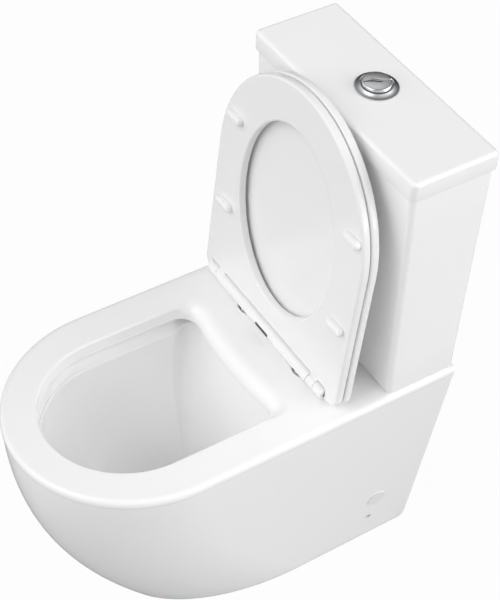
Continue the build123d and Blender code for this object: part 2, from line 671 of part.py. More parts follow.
def release_button():
    """Push button in the front of the hinge bar that frees it from its mounts."""
    half = RELEASE_WIDTH / 2 - SLIDE_GAP
    front = HINGE_Y - BAR_R + SLIDE_GAP
    height = RELEASE_HEIGHT / 2 - SLIDE_GAP
    return block(HINGE_OFFSET - half, HINGE_OFFSET + half, front, front + RELEASE_DEPTH,
                 HINGE_Z - height, HINGE_Z + height)


def damper(x0):
    """Soft-close cylinder pressed into one end of the bar."""
    x1 = x0 + DAMPER_LENGTH
    body = rod_x(x0, x1, HINGE_Y, HINGE_Z, DAMPER_R)
    return body - rod_x(x0, x1, HINGE_Y, HINGE_Z, SHAFT_R + RUN_FIT)


def damper_shaft(x0, x1):
    """Damper shaft that runs out through both ears on its side."""
    return rod_x(x0, x1, HINGE_Y, HINGE_Z, SHAFT_R)


def hinge_mounts():
    """Two plates on the deck, each with a pillar for the bar and an offset stud through the deck."""
    mounts = []
    for side in (-1, 1):
        x = side * MOUNT_SPREAD / 2
        top = RIM_HEIGHT + MOUNT_PLATE
        mount = rod(x, HINGE_Y, RIM_HEIGHT, top, MOUNT_PLATE_R)
        mount += rod(x, HINGE_Y, top, top + PILLAR_DEPTH, PILLAR_R)
        mount += rod(x, STUD_Y, RIM_HEIGHT - STUD_LENGTH, RIM_HEIGHT, STUD_R)
        mounts.append(mount)
    return group(*mounts)


def wing_nut(x, y, top, bore_r):
    """Wing nut screwed up against a washer from below."""
    foot = top - NUT_HEIGHT
    nut = rod(x, y, foot, top, NUT_R)
    span = WING_SPAN / 2
    nut += block(x - WING / 2, x + WING / 2, y - span, y + span, foot, top - WING)
    return nut - rod(x, y, foot, top, bore_r + RUN_FIT)


def deck_washers(spread, y, bolt_r):
    """Washers under the deck on a pair of bolts."""
    foot = DECK_UNDER - RUBBER_WASHER
    return group(*[tube(s * spread / 2, y, foot, DECK_UNDER, WASHER_R, bolt_r + RUN_FIT) for s in (-1, 1)])


def deck_nuts(spread, y, bolt_r):
    """Wing nuts below the washers on a pair of bolts."""
    top = DECK_UNDER - RUBBER_WASHER
    return group(*[wing_nut(s * spread / 2, y, top, bolt_r) for s in (-1, 1)])


# Flush button

def button_bezel():
    """Chromed ring on the cistern lid, sloping up to the button."""
    top = LID_TOP + BEZEL_HEIGHT
    bore = SLEEVE_BORE_R + SEAT_GAP
    step = SLEEVE_R + SEAT_GAP
    rim = LID_TOP + BEZEL_LIP / 2
    profile = Polyline((step, LID_TOP), (BEZEL_R, LID_TOP), (BEZEL_R, rim), (BEZEL_TOP_R, top),
                       (bore, top), (bore, SLEEVE_TOP), (step, SLEEVE_TOP), close=True)
    return Pos(0, FLUSH_Y, 0) * revolve(Plane.XZ * make_face(profile), Axis.Z)


def button_housing():
    """Sleeve through the cistern lid with a guide plate for the push rods."""
    sleeve = tube(0, FLUSH_Y, SLEEVE_FOOT, SLEEVE_TOP, SLEEVE_R, SLEEVE_BORE_R)
    sleeve += rod(0, FLUSH_Y, SLEEVE_FOOT, SLEEVE_FOOT + SLEEVE_PLATE, SLEEVE_R)
    for side in (-1, 1):
        sleeve -= rod(side * LEVER_X, FLUSH_Y, SLEEVE_FOOT, SLEEVE_TOP, PUSH_ROD_R + RUN_FIT)
    return sleeve


def button_clamp_nut():
    """Ring nut that clamps the sleeve against the underside of the cistern lid."""
    foot = LID_CEILING - CLAMP_NUT_HEIGHT
    return tube(0, FLUSH_Y, foot, LID_CEILING, CLAMP_NUT_R, SLEEVE_R + SEAT_GAP)


def button_half(side, r, sway_gap):
    """Half of a round plan, split by an S-shaped line across it."""
    reach = 2 * BUTTON_R
    shift = side * sway_gap / 2
    sway = BUTTON_SPLIT_SWAY
    line = Spline((shift, -reach), (shift - sway, -r / 2), (shift, 0), (shift + sway, r / 2),
                  (shift, reach))
    edges = line + Polyline((shift, reach), (side * reach, reach), (side * reach, -reach), (shift, -reach))
    return Rot(0, 0, BUTTON_SPLIT_TURN) * make_face(edges) & Circle(r)


def flush_button(side):
    """One half of the flush button: a shallow cap with a boss for its push rod."""
    half = Pos(0, FLUSH_Y, 0) * button_half(side, BUTTON_R, BUTTON_SPLIT_GAP)
    cap = prism(half, BUTTON_FOOT, BUTTON_TOP)
    cap = fillet(cap.faces().sort_by(Axis.Z)[-1].edges(), BUTTON_WALL / 2)
    pocket_gap = BUTTON_SPLIT_GAP + 2 * BUTTON_WALL
    pocket = Pos(0, FLUSH_Y, 0) * button_half(side, BUTTON_R - BUTTON_WALL, pocket_gap)
    cap -= prism(pocket, BUTTON_FOOT, BUTTON_TOP - BUTTON_WALL)
    cap += rod(side * LEVER_X, FLUSH_Y, BOSS_FOOT, BUTTON_TOP - BUTTON_WALL, BOSS_R)
    return cap - rod(side * LEVER_X, FLUSH_Y, BOSS_FOOT, BOSS_FOOT + PUSH_ROD_SOCKET, PUSH_ROD_R)


def push_rod(side):
    """Rod from a flush button down to its lever, with a tapered tip."""
    x = side * LEVER_X
    tip = 2 * PUSH_ROD_R
    shank = rod(x, FLUSH_Y, LIFT_FOOT + tip, BOSS_FOOT + PUSH_ROD_SOCKET, PUSH_ROD_R)
    return shank + Pos(x, FLUSH_Y, LIFT_FOOT) * Cone(PUSH_ROD_R / 4, PUSH_ROD_R, tip, align=UPRIGHT)


def button_spring(side):
    """Coil between the guide plate and a button's boss."""
    foot = SLEEVE_FOOT + SLEEVE_PLATE + SPRING_WIRE_R
    height = BOSS_FOOT - foot - SPRING_WIRE_R
    path = Helix(height / SPRING_TURNS, height, SPRING_R)
    coil = sweep(Plane(path @ 0, z_dir=path % 0) * Circle(SPRING_WIRE_R), path, is_frenet=True)
    return Pos(side * LEVER_X, FLUSH_Y, foot) * coil


# Flush valve

def flush_valve_gasket():
    """Rubber ring under the valve's flange."""
    return tube(0, FLUSH_Y, CISTERN_FLOOR, CISTERN_FLOOR + GASKET, VALVE_FLANGE_R, VALVE_TAIL_R)


def flush_valve_base():
    """Threaded tail, flange, valve seat and the posts that carry the tower."""
    flange_foot = CISTERN_FLOOR + GASKET
    base = tube(0, FLUSH_Y, RIM_HEIGHT - VALVE_TAIL, flange_foot, VALVE_TAIL_R, VALVE_BORE_R)
    base += tube(0, FLUSH_Y, flange_foot, FLANGE_TOP, VALVE_FLANGE_R, VALVE_BORE_R)
    base += tube(0, FLUSH_Y, FLANGE_TOP, LIP_TOP, VALVE_BORE_R + SEAT_LIP_WALL, VALVE_BORE_R)
    cage = tube(0, FLUSH_Y, FLANGE_TOP, CAGE_TOP, TOWER_R, TOWER_R - TOWER_WALL)
    for turn in (45, 135):
        slot = Box(3 * TOWER_R, 1.2 * TOWER_R, VALVE_CAGE - TOWER_PLATE, align=UPRIGHT)
        cage -= Pos(0, FLUSH_Y, FLANGE_TOP) * Rot(0, 0, turn) * slot
    return base + cage


def flush_valve_backnut():
    """Ring nut on the tail, below the cistern's base."""
    foot = RIM_HEIGHT - BACKNUT_HEIGHT
    return tube(0, FLUSH_Y, foot, RIM_HEIGHT, BACKNUT_R, VALVE_TAIL_R + SEAT_GAP)


def coupling_seal():
    """Doughnut washer round the backnut, between the cistern and the pan."""
    foot = RIM_HEIGHT - COUPLING_SEAL_HEIGHT
    return tube(0, FLUSH_Y, foot, RIM_HEIGHT, COUPLING_SEAL_R, BACKNUT_R + SEAT_GAP)


def flush_valve_tower():
    """Tower on the valve base: windowed tube, top plate and the cheeks that carry the levers."""
    tower = tube(0, FLUSH_Y, CAGE_TOP, TOWER_TOP, TOWER_R, TOWER_R - TOWER_WALL)
    window = TOWER_TOP - CAGE_TOP - 6 * TOWER_PLATE
    for turn in (0, 90):
        slot = Box(3 * TOWER_R, TOWER_R, window, align=UPRIGHT)
        tower -= Pos(0, FLUSH_Y, CAGE_TOP + 3 * TOWER_PLATE) * Rot(0, 0, turn) * slot
    tower += rod(0, FLUSH_Y, TOWER_TOP, PLATE_TOP, TOWER_R)
    rear = FLUSH_Y + HALF_FLOAT_BACK + 2 * HALF_ROD_R
    side = abs(HALF_FLOAT_X) + 2 * HALF_ROD_R
    tower += block(-side, side, FLUSH_Y, rear, TOWER_TOP, PLATE_TOP)
    inner = LEVER_X - LEVER_WIDTH / 2 - CHEEK_PLAY
    outer = LEVER_X + LEVER_WIDTH / 2 + CHEEK_PLAY
    for cheek in (inner - CHEEK, outer, -inner, -outer - CHEEK):
        reach = 2 * LEVER_PIN_R + CHEEK
        tower += block(cheek, cheek + CHEEK, LEVER_Y - reach, LEVER_Y + reach, PLATE_TOP,
                       LEVER_Z + LEVER_PIN_R + LEVER_THICKNESS / 4)
    tower -= rod_x(-side, side, LEVER_Y, LEVER_Z, LEVER_PIN_R + SEAT_GAP / 2)
    tower -= rod(0, FLUSH_Y, TOWER_TOP, PLATE_TOP, LIFT_ROD_R + RUN_FIT)
    return tower - rod(HALF_FLOAT_X, FLUSH_Y + HALF_FLOAT_BACK, TOWER_TOP, PLATE_TOP, HALF_ROD_R + RUN_FIT)


def lever_pin():
    """Pin through all four cheeks that both levers rock on."""
    outer = LEVER_X + LEVER_WIDTH / 2 + CHEEK_PLAY + CHEEK
    return rod_x(-outer, outer, LEVER_Y, LEVER_Z, LEVER_PIN_R)


def flush_lever(side):
    """Rocking lever: a push rod above its front end, a lifting foot above its rear end."""
    x = side * LEVER_X
    reach = LEVER_ARM + 2
    lever = block(x - LEVER_WIDTH / 2, x + LEVER_WIDTH / 2, LEVER_Y - reach - 1, LEVER_Y + reach,
                  LEVER_Z - LEVER_THICKNESS / 2, LEVER_TOP)
    return lever - rod_x(x - LEVER_WIDTH, x + LEVER_WIDTH, LEVER_Y, LEVER_Z, LEVER_PIN_R + RUN_FIT)


def flush_plunger():
    """Overflow tube with the valve disc at its foot and a lift rod and crosshead at its top."""
    tube_top = TOWER_TOP - BUTTON_TRAVEL - TOWER_PLATE
    disc_top = DISC_FOOT + PLUNGER_DISC
    plunger = tube(0, FLUSH_Y, DISC_FOOT, disc_top, PLUNGER_R, OVERFLOW_R - OVERFLOW_WALL)
    plunger += tube(0, FLUSH_Y, disc_top, tube_top, OVERFLOW_R, OVERFLOW_R - OVERFLOW_WALL)
    head_foot = LIFT_FOOT + OVERFLOW_WALL
    head_top = head_foot + LEVER_THICKNESS
    plunger += rod(0, FLUSH_Y, tube_top - OVERFLOW_R, head_top, LIFT_ROD_R)
    span = OVERFLOW_R - OVERFLOW_WALL / 2
    plunger += block(-span, span, FLUSH_Y - OVERFLOW_WALL, FLUSH_Y + OVERFLOW_WALL,
                     tube_top - OVERFLOW_R, tube_top)
    half = LIFT_ROD_R * 0.75
    foot_front = LEVER_Y + LEVER_ARM - LEVER_WIDTH
    foot_rear = LEVER_Y + LEVER_ARM
    plunger += block(-half, half, FLUSH_Y, foot_rear, head_foot, head_top)
    return plunger + block(-half, LEVER_X + LEVER_WIDTH / 2, foot_front, foot_rear, LIFT_FOOT, head_top)


def flush_seal():
    """Rubber ring under the plunger's disc that closes the valve seat."""
    return tube(0, FLUSH_Y, SEAL_FOOT, DISC_FOOT, VALVE_BORE_R + 2 * SEAT_LIP_WALL, OVERFLOW_R)


def half_flush_float():
    """Small float beside the tower, on a rod that the half-flush lever lifts."""
    x = HALF_FLOAT_X
    y = FLUSH_Y + HALF_FLOAT_BACK
    cup_top = TOWER_TOP - HALF_FLOAT_DROP
    top = LIFT_FOOT + LEVER_THICKNESS
    link = rod(x, y, cup_top - HALF_FLOAT_HEIGHT, cup_top, HALF_FLOAT_R)
    link += rod(x, y, cup_top, top, HALF_ROD_R)
    foot_rear = LEVER_Y + LEVER_ARM
    return link + block(x - HALF_ROD_R, LEVER_WIDTH / 2 - LEVER_X, foot_rear - LEVER_WIDTH,
                        max(foot_rear, y), LIFT_FOOT, top)


# Fill valve

def fill_valve():
    """Threaded inlet tail, flange and riser tube."""
    flange_foot = CISTERN_FLOOR + GASKET
    foot = RIM_HEIGHT - INLET_LENGTH
    neck = RIM_HEIGHT - INLET_NUT_HEIGHT - SLIDE_GAP
    valve = rod(FILL_X, FLUSH_Y, foot, neck, INLET_R)
    valve += rod(FILL_X, FLUSH_Y, neck, flange_foot, INLET_NECK_R)
    valve += rod(FILL_X, FLUSH_Y, flange_foot, flange_foot + VALVE_FLANGE, INLET_NUT_R)
    valve += rod(FILL_X, FLUSH_Y, flange_foot + VALVE_FLANGE, RISER_TOP, RISER_R)
    return valve - rod(FILL_X, FLUSH_Y, foot, RISER_TOP, INLET_BORE_R)


def fill_valve_gasket():
    """Rubber ring under the fill valve's flange."""
    return tube(FILL_X, FLUSH_Y, CISTERN_FLOOR, CISTERN_FLOOR + GASKET, INLET_NUT_R, INLET_NECK_R)


def fill_valve_backnut():
    """Six-sided nut on the inlet tail, below the cistern's base."""
    foot = RIM_HEIGHT - INLET_NUT_HEIGHT
    nut = prism(Pos(FILL_X, FLUSH_Y) * RegularPolygon(INLET_NUT_R, 6), foot, RIM_HEIGHT)
    return nut - rod(FILL_X, FLUSH_Y, foot, RIM_HEIGHT, INLET_NECK_R + RUN_FIT)


def fill_valve_head():
    """Valve head on the riser with the cheeks for the float lever."""
    head = rod(FILL_X, FLUSH_Y, RISER_TOP, HEAD_TOP, FILL_HEAD_R)
    x = FILL_X + FLOAT_PIVOT_X
    reach = 2 * LEVER_PIN_R
    inner = LEVER_WIDTH / 2 + CHEEK_PLAY
    for y0 in (FLUSH_Y + inner, FLUSH_Y - inner - CHEEK):
        head += block(x - reach, x + reach, y0, y0 + CHEEK, HEAD_TOP, FLOAT_LEVER_Z + reach)
    pin_reach = inner + CHEEK
    return head - rod_y(FLUSH_Y - pin_reach, FLUSH_Y + pin_reach, x, FLOAT_LEVER_Z, LEVER_PIN_R + SEAT_GAP / 2)


def fill_float():
    """Float cup that slides on the riser, with the link rod that works the lever."""
    foot = FLOAT_TOP - FLOAT_HEIGHT
    cup = tube(FILL_X, FLUSH_Y, foot, FLOAT_TOP, FLOAT_R, RISER_R + RUN_FIT)
    collar = FLOAT_LEVER_Z - FLOAT_LEVER_THICKNESS / 2 - FLOAT_COLLAR_PLAY
    link_top = FLOAT_LEVER_Z + FLOAT_LEVER_THICKNESS + FLOAT_COLLAR_R
    cup += rod(LINK_X, FLUSH_Y, FLOAT_TOP, link_top, FLOAT_LINK_R)
    return cup + rod(LINK_X, FLUSH_Y, collar - FLOAT_COLLAR_R, collar, FLOAT_COLLAR_R)


def float_lever():
    """Lever on the valve head with a forked end round the float's link rod."""
    pivot = FILL_X + FLOAT_PIVOT_X
    half = LEVER_WIDTH / 2
    end = LINK_X - 2 * LEVER_WIDTH / 3
    z0 = FLOAT_LEVER_Z - FLOAT_LEVER_THICKNESS / 2
    z1 = FLOAT_LEVER_Z + FLOAT_LEVER_THICKNESS / 2
    lever = block(end, pivot + half, FLUSH_Y - half, FLUSH_Y + half, z0, z1)
    slot = FLOAT_LINK_R + SLIDE_GAP
    lever -= block(end, LINK_X + LEVER_WIDTH, FLUSH_Y - slot, FLUSH_Y + slot, z0, z1)
    return lever - rod_y(FLUSH_Y - half, FLUSH_Y + half, pivot, FLOAT_LEVER_Z, LEVER_PIN_R + RUN_FIT)


def float_lever_pin():
    """Pin of the float lever."""
    reach = LEVER_WIDTH / 2 + CHEEK_PLAY + CHEEK
    return rod_y(FLUSH_Y - reach, FLUSH_Y + reach, FILL_X + FLOAT_PIVOT_X, FLOAT_LEVER_Z, LEVER_PIN_R)


# Fixings

def coupling_bolts():
    """Two bolts from inside the cistern down through the deck of the pan."""
    head_foot = CISTERN_FLOOR + RUBBER_WASHER
    bolts = []
    for side in (-1, 1):
        x = side * BOLT_SPREAD / 2
        bolt = rod(x, FLUSH_Y, head_foot, head_foot + BOLT_HEAD, BOLT_HEAD_R)
        bolts.append(bolt + rod(x, FLUSH_Y, head_foot - BOLT_LENGTH - CISTERN_BASE, head_foot, BOLT_R))
    return group(*bolts)


def coupling_washers():
    """Rubber washers under the bolt heads."""
    top = CISTERN_FLOOR + RUBBER_WASHER
    spots = [side * BOLT_SPREAD / 2 for side in (-1, 1)]
    return group(*[tube(x, FLUSH_Y, CISTERN_FLOOR, top, WASHER_R, BOLT_R + RUN_FIT) for x in spots])


def side_caps():
    """Round cover caps pressed into the holes in the pan's sides."""
    cap = Cylinder(CAP_R, CAP_THICKNESS, align=UPRIGHT)
    cap += Pos(0, 0, -CAP_PLUG) * Cylinder(CAP_PLUG_R, CAP_PLUG, align=UPRIGHT)
    return group(*[side_place(side, CAP_SETBACK, CAP_HEIGHT) * cap for side in (-1, 1)])


def fixing_screws():
    """Screws through the pan's sides into the floor brackets, heads sunk in their holes."""
    screw = Pos(0, 0, -SCREW_SINK - SCREW_HEAD) * Cylinder(SCREW_HEAD_R, SCREW_HEAD, align=UPRIGHT)
    tip = -SCREW_SINK - SCREW_LENGTH
    screw += Pos(0, 0, tip) * Cylinder(SCREW_R, SCREW_LENGTH - SCREW_HEAD, align=UPRIGHT)
    return group(*[side_place(side, SCREW_SETBACK, SCREW_HEIGHT) * screw for side in (-1, 1)])


def floor_bracket(side):
    """Angle bracket on the floor whose upright follows the inside of the pan."""
    lean = math.tan(math.radians(SIDE_LEAN))
    wall = FOOT_WIDTH / 2 - PAN_WALL / math.cos(math.radians(SIDE_LEAN)) - SLIDE_GAP
    corners = [(wall, 0), (wall + lean * BRACKET_HEIGHT, BRACKET_HEIGHT)]
    corners += [(x - BRACKET_THICKNESS, z) for x, z in reversed(corners)]
    corners[3] = (wall + lean * BRACKET_THICKNESS - BRACKET_THICKNESS, BRACKET_THICKNESS)
    corners += [(wall - BRACKET_FOOT, BRACKET_THICKNESS), (wall - BRACKET_FOOT, 0)]
    outline = make_face(Polyline(*[(side * x, z) for x, z in corners], close=True))
    y = WALL_Y - SCREW_SETBACK
    bracket = extrude(Plane.XZ * outline, BRACKET_WIDTH / 2, both=True)
    bracket = Pos(0, y, 0) * bracket
    bracket -= rod(side * BRACKET_HOLE_SPREAD / 2, y, 0, BRACKET_THICKNESS, BRACKET_HOLE_R)
    reach = SCREW_SINK + SCREW_LENGTH + PAN_WALL
    hole = Pos(0, 0, -reach) * Cylinder(SCREW_R, reach, align=UPRIGHT)
    return bracket - side_place(side, SCREW_SETBACK, SCREW_HEIGHT) * hole


PIECES = {
    "pan": pan(),
    "cistern": cistern(),
    "cistern_lid": cistern_lid(),
    "seat_ring": seat_ring(),
    "seat_lid": seat_lid(),
    "seat_buffers": seat_buffers(),
    "lid_buffers": lid_buffers(),
    "hinge_bar": hinge_bar(),
    "release_button": release_button(),
    "seat_damper": damper(BAR_LEFT),
    "lid_damper": damper(BAR_RIGHT - DAMPER_LENGTH),
    "seat_damper_shaft": damper_shaft(BAR_LEFT - EARS, BAR_LEFT + DAMPER_LENGTH),
    "lid_damper_shaft": damper_shaft(BAR_RIGHT - DAMPER_LENGTH, BAR_RIGHT + EARS),
    "hinge_mounts": hinge_mounts(),
    "hinge_washers": deck_washers(MOUNT_SPREAD, STUD_Y, STUD_R),
    "hinge_nuts": deck_nuts(MOUNT_SPREAD, STUD_Y, STUD_R),
    "button_bezel": button_bezel(),
    "button_housing": button_housing(),
    "button_clamp_nut": button_clamp_nut(),
    "full_flush_button": flush_button(1),
    "half_flush_button": flush_button(-1),
    "full_push_rod": push_rod(1),
    "half_push_rod": push_rod(-1),
    "full_button_spring": button_spring(1),
    "half_button_spring": button_spring(-1),
    "flush_valve_gasket": flush_valve_gasket(),
    "flush_valve_base": flush_valve_base(),
    "flush_valve_backnut": flush_valve_backnut(),
    "coupling_seal": coupling_seal(),
    "flush_valve_tower": flush_valve_tower(),
    "lever_pin": lever_pin(),
    "full_flush_lever": flush_lever(1),
    "half_flush_lever": flush_lever(-1),
    "flush_plunger": flush_plunger(),
    "flush_seal": flush_seal(),
    "half_flush_float": half_flush_float(),
    "fill_valve": fill_valve(),
    "fill_valve_gasket": fill_valve_gasket(),
    "fill_valve_backnut": fill_valve_backnut(),
    "fill_valve_head": fill_valve_head(),
    "fill_float": fill_float(),
    "float_lever": float_lever(),
    "float_lever_pin": float_lever_pin(),
    "coupling_bolts": coupling_bolts(),
    "coupling_washers": coupling_washers(),
    "coupling_plates": deck_washers(BOLT_SPREAD, FLUSH_Y, BOLT_R),
    "coupling_nuts": deck_nuts(BOLT_SPREAD, FLUSH_Y, BOLT_R),
    "side_caps": side_caps(),
    "fixing_screws": fixing_screws(),
    "floor_brackets": group(floor_bracket(-1), floor_bracket(1)),
}

os.makedirs("parts", exist_ok=True)
for name, piece in PIECES.items():
    export_step(piece, f"parts/{name}.step")
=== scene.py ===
import json
import math

import bmesh
import bpy
import numpy as np
from mathutils import Matrix, Vector
from mathutils.geometry import tessellate_polygon


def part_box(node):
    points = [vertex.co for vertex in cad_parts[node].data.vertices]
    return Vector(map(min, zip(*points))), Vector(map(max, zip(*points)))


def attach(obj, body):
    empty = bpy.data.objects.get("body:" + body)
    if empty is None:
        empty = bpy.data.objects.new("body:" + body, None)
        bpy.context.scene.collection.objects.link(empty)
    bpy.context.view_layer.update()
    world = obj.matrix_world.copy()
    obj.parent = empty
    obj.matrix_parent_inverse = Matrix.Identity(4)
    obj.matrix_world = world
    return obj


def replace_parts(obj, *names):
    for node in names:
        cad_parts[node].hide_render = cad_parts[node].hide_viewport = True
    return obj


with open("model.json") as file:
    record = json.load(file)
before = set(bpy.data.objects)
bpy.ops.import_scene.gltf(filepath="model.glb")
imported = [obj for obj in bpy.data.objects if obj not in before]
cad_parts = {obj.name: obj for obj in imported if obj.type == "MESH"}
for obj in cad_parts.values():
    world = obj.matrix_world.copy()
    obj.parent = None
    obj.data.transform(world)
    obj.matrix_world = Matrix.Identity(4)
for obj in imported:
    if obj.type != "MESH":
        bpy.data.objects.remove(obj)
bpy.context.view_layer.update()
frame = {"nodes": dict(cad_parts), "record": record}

# A close coupled toilet in glazed china with its seat and lid raised. Metres, in the frame's axes:
# X across, +Y to the wall, Z up from the floor.
MM = 0.001

# Points closer than WELD become one, and shapes of one moulding run into each other by OVERLAP
WELD = 0.002 * MM
OVERLAP = 1 * MM

# Rows on the flat just past a rounded edge, as shares of its radius
EDGE_FLAT = 1.1
APRON_FLAT = 1.08
TANK_FOOT_FLAT = 1.2
TANK_LID_FOOT_FLAT = 1.4
SEAT_FLAT = 1.15

# Places read from the frame
PAN_LOW, PAN_HIGH = [np.array(corner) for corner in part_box("pan")]
CISTERN_LOW, CISTERN_HIGH = [np.array(corner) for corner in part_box("cistern")]
TANK_LID_LOW, TANK_LID_HIGH = [np.array(corner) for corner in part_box("cistern_lid")]
BEZEL_LOW, BEZEL_HIGH = [np.array(corner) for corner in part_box("button_bezel")]
BUTTON_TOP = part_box("full_flush_button")[1][2]
BAR_LOW, BAR_HIGH = [np.array(corner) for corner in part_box("hinge_bar")]
MOUNTS_LOW, MOUNTS_HIGH = [np.array(corner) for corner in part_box("hinge_mounts")]
PADS_LOW, PADS_HIGH = [np.array(corner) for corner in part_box("seat_buffers")]
JOINTS = {joint["name"]: joint for joint in frame["record"]["behaviour"]["joints"]}
HINGE_Y, HINGE_Z = JOINTS["lid_hinge"]["pos_m"][1:]
SEAT_LEAN = JOINTS["lid_hinge"]["range_deg"][1]

# Pan
WALL_Y = PAN_HIGH[1]
NOSE_Y = PAN_LOW[1]
RIM_TOP = PAN_HIGH[2]
RIM_HALF = PAN_HIGH[0]
RIM_NOSE = 190 * MM
RIM_BAND = 14 * MM
RIM_BAND_STEP = 1.5 * MM
RIM_EDGE_R = 8 * MM
FOOT_HALF = 127 * MM
FOOT_SETBACK = 156 * MM
FOOT_NOSE = 250 * MM
FOOT_EDGE_R = 3 * MM
FOOT_REAR_R = 16 * MM
FRONT_CURVE = 1.9
PAN_WALL = 12 * MM
DECK_UNDER = RIM_TOP - 20 * MM
BODY_TOP = RIM_TOP - RIM_BAND

# Step under the band of the rim: heights about the top of the body, and how far out it is there
BAND_HEIGHTS = np.array([-3, -1.2, -0.4, 0.1, 0.6, 1.4, 2.4]) * MM
BAND_OUTSETS = np.array([0, 0, 0.1, 0.5, 1.0, 1.35, 1.5]) * MM

# Bowl
BOWL_HALF = 122 * MM
BOWL_FRONT = NOSE_Y + 50 * MM
BOWL_NOSE = 130 * MM
BOWL_REAR = WALL_Y - 257 * MM
BOWL_CORNER_R = 26 * MM
BOWL_EDGE_R = 4 * MM
BOWL_WALL = 10 * MM
DECK_BOW = 13 * MM
APRON_REACH = 25 * MM
APRON_DROP = 22 * MM
LIP = 20 * MM
BEAD = 0.8 * MM
BEAD_HEIGHT = 4 * MM
LEDGE_Z = RIM_TOP - 45 * MM
LEDGE_R = 3 * MM
WALL_TOP = LEDGE_Z - LEDGE_R
GUIDE_SIDE = 9 * MM
GUIDE_REAR = 16 * MM
GUIDE_CORNER = 18 * MM
GUIDE_LEDGE = 5 * MM
GUIDE_START = 40 * MM
GUIDE_FULL = 110 * MM
GUIDE_CURVE = 0.7
BOWL_SIDE_CURVE = 1.8
BOWL_FRONT_CURVE = 2
SUMP_RIM_Z = 232 * MM
SUMP_RIM_HALF = 80 * MM
SUMP_RIM_FRONT = -160 * MM
SUMP_HALF = 44 * MM
SUMP_ROUND = 0.9
SUMP_FRONT = -108 * MM
EXIT_HALF = 30 * MM
EXIT_DEPTH = 44 * MM
EXIT_EDGE = 0.8

# How far the edge of the bowl faces rearwards, or both ways at a corner, where a change begins and is full
REAR_FACING = (0.05, 0.95)
CORNER_FACING = (0.2, 0.55)

# Trapway, soil outlet, flush way and holes
DIP_Y = 8 * MM
DIP_Z = 165 * MM
THROAT = 54 * MM
TRAP_R = 27 * MM
TRAP_WALL = 9 * MM
TRAP_BEND_R = 45 * MM
TRAP_RUN = 30 * MM
TRAP_PEAK = (WALL_Y - 200 * MM, 310 * MM)
OUTLET_Z = 180 * MM
OUTLET_R = 51 * MM
OUTLET_BORE_R = 44 * MM
OUTLET_FRONT = WALL_Y - 110 * MM
OUTLET_REAR = WALL_Y - 30 * MM
DUCT_HALF = 44 * MM
DUCT_FOOT = RIM_TOP - 66 * MM
DUCT_EDGE_R = 6 * MM
FLUSH_Y = WALL_Y - 62 * MM
INLET_X = -128 * MM
INLET_ACCESS_R = 21 * MM
SCREW_Y = WALL_Y - 80 * MM
SCREW_Z = 60 * MM
SCREW_HOLE_R = 5 * MM
SCREW_PATCH = 3 * SCREW_HOLE_R
SCREW_COLUMNS = (4, 15)

# Cistern and its lid
TANK_HALF = CISTERN_HIGH[0]
TANK_FOOT_HALF = TANK_HALF - 4 * MM
TANK_FRONT = CISTERN_LOW[1]
TANK_FOOT_FRONT = TANK_FRONT + 15.5 * MM
TANK_REAR = CISTERN_HIGH[1]
TANK_FRONT_R = 9 * MM
TANK_REAR_R = 6 * MM
TANK_FOOT_R = 5 * MM
TANK_LEAST_R = 0.5 * MM
TANK_WALL = 9 * MM
TANK_BASE = 12 * MM
TANK_RIM_R = 2 * MM
TANK_LID_SEAM = CISTERN_HIGH[2]
TANK_LID_EDGE_R = 6 * MM
TANK_LID_FOOT_R = 1.5 * MM
TANK_LID_LIP = 6 * MM
TANK_LID_LIP_INSET = 11 * MM
TANK_LID_LIP_WALL = 5 * MM
TANK_LID_TOP_WALL = 10 * MM
TANK_LID_HOLE_R = 23.1 * MM

# Seat and its lid, drawn shut and then turned up
SEAT_HALF = 171 * MM
SEAT_X = -9 * MM
SEAT_REACH = 418 * MM
SEAT_NOSE = 188 * MM
SEAT_TAIL = 7 * MM
SEAT_CORNER_R = 18 * MM
SEAT_UNDER = RIM_TOP + 10 * MM
SEAT_TOP = SEAT_UNDER + 13 * MM
SEAT_HOLE = (111 * MM, 154 * MM)
SEAT_HOLE_REACH = 203 * MM
SEAT_EDGE_R = 4 * MM
SEAT_HOLE_UNDER_R = 3 * MM
SEAT_HOLE_TOP_R = 4 * MM
POCKET = 12.5 * MM
POCKET_R = 2.5 * MM
POCKET_MARGIN = 1 * MM
POCKET_ROUND = 0.3
LID_GROW = 1 * MM
LID_UNDER = SEAT_TOP + 1.5 * MM
LID_TOP = LID_UNDER + 14 * MM
LID_ROUND = 5 * MM
LID_CROWN = 2 * MM
LID_DISH = 3 * MM
LID_BORDER = 0.86
LID_BORDER_OUT = 0.06
LID_BORDER_IN = 0.1
EAR_R = 9.5 * MM
EAR_GAP = 0.4 * MM
SEAT_EAR = 16.5 * MM
LID_EAR = 19.5 * MM
EAR_EDGE_R = 1 * MM

# Hinge mounts and seat pads
MOUNT_R = 20 * MM
MOUNT_X = 71 * MM
MOUNT_Y = HINGE_Y + 8.5 * MM
MOUNT_HOLE_R = 17.8 * MM
MOUNT_DEPTH = 7 * MM
CUP_BASE = 2 * MM
CUP_PLAY = 0.3 * MM
CUP_FOOT_WALL = 1.4 * MM
CUP_MOUTH_WALL = 0.8 * MM
CUP_MOUTH = RIM_TOP + 0.6 * MM
FLANGE_TOP = RIM_TOP + 1.2 * MM
FLANGE_SIDE = RIM_TOP + 0.7 * MM
FLANGE_FOOT = RIM_TOP + 0.05 * MM
FLANGE_EDGE = 0.5 * MM
PILLAR_R = 6 * MM
PILLAR_EDGE = 1 * MM
STUD_R = 4 * MM
STUD_EDGE = 0.5 * MM
STUD_SHIFT = 7 * MM
PAD_LENGTH = 34 * MM
FRAME_PAD_LENGTH = 40 * MM
PAD_SHIFT = 3 * MM
PAD_WIDTH = 12 * MM
PAD_CORNER_R = 0.49 * PAD_WIDTH
PAD_EDGE_R = 3.5 * MM
PAD_REACHES = (134 * MM, 288 * MM)
PAD_FOOT = RIM_TOP + 0.4 * MM

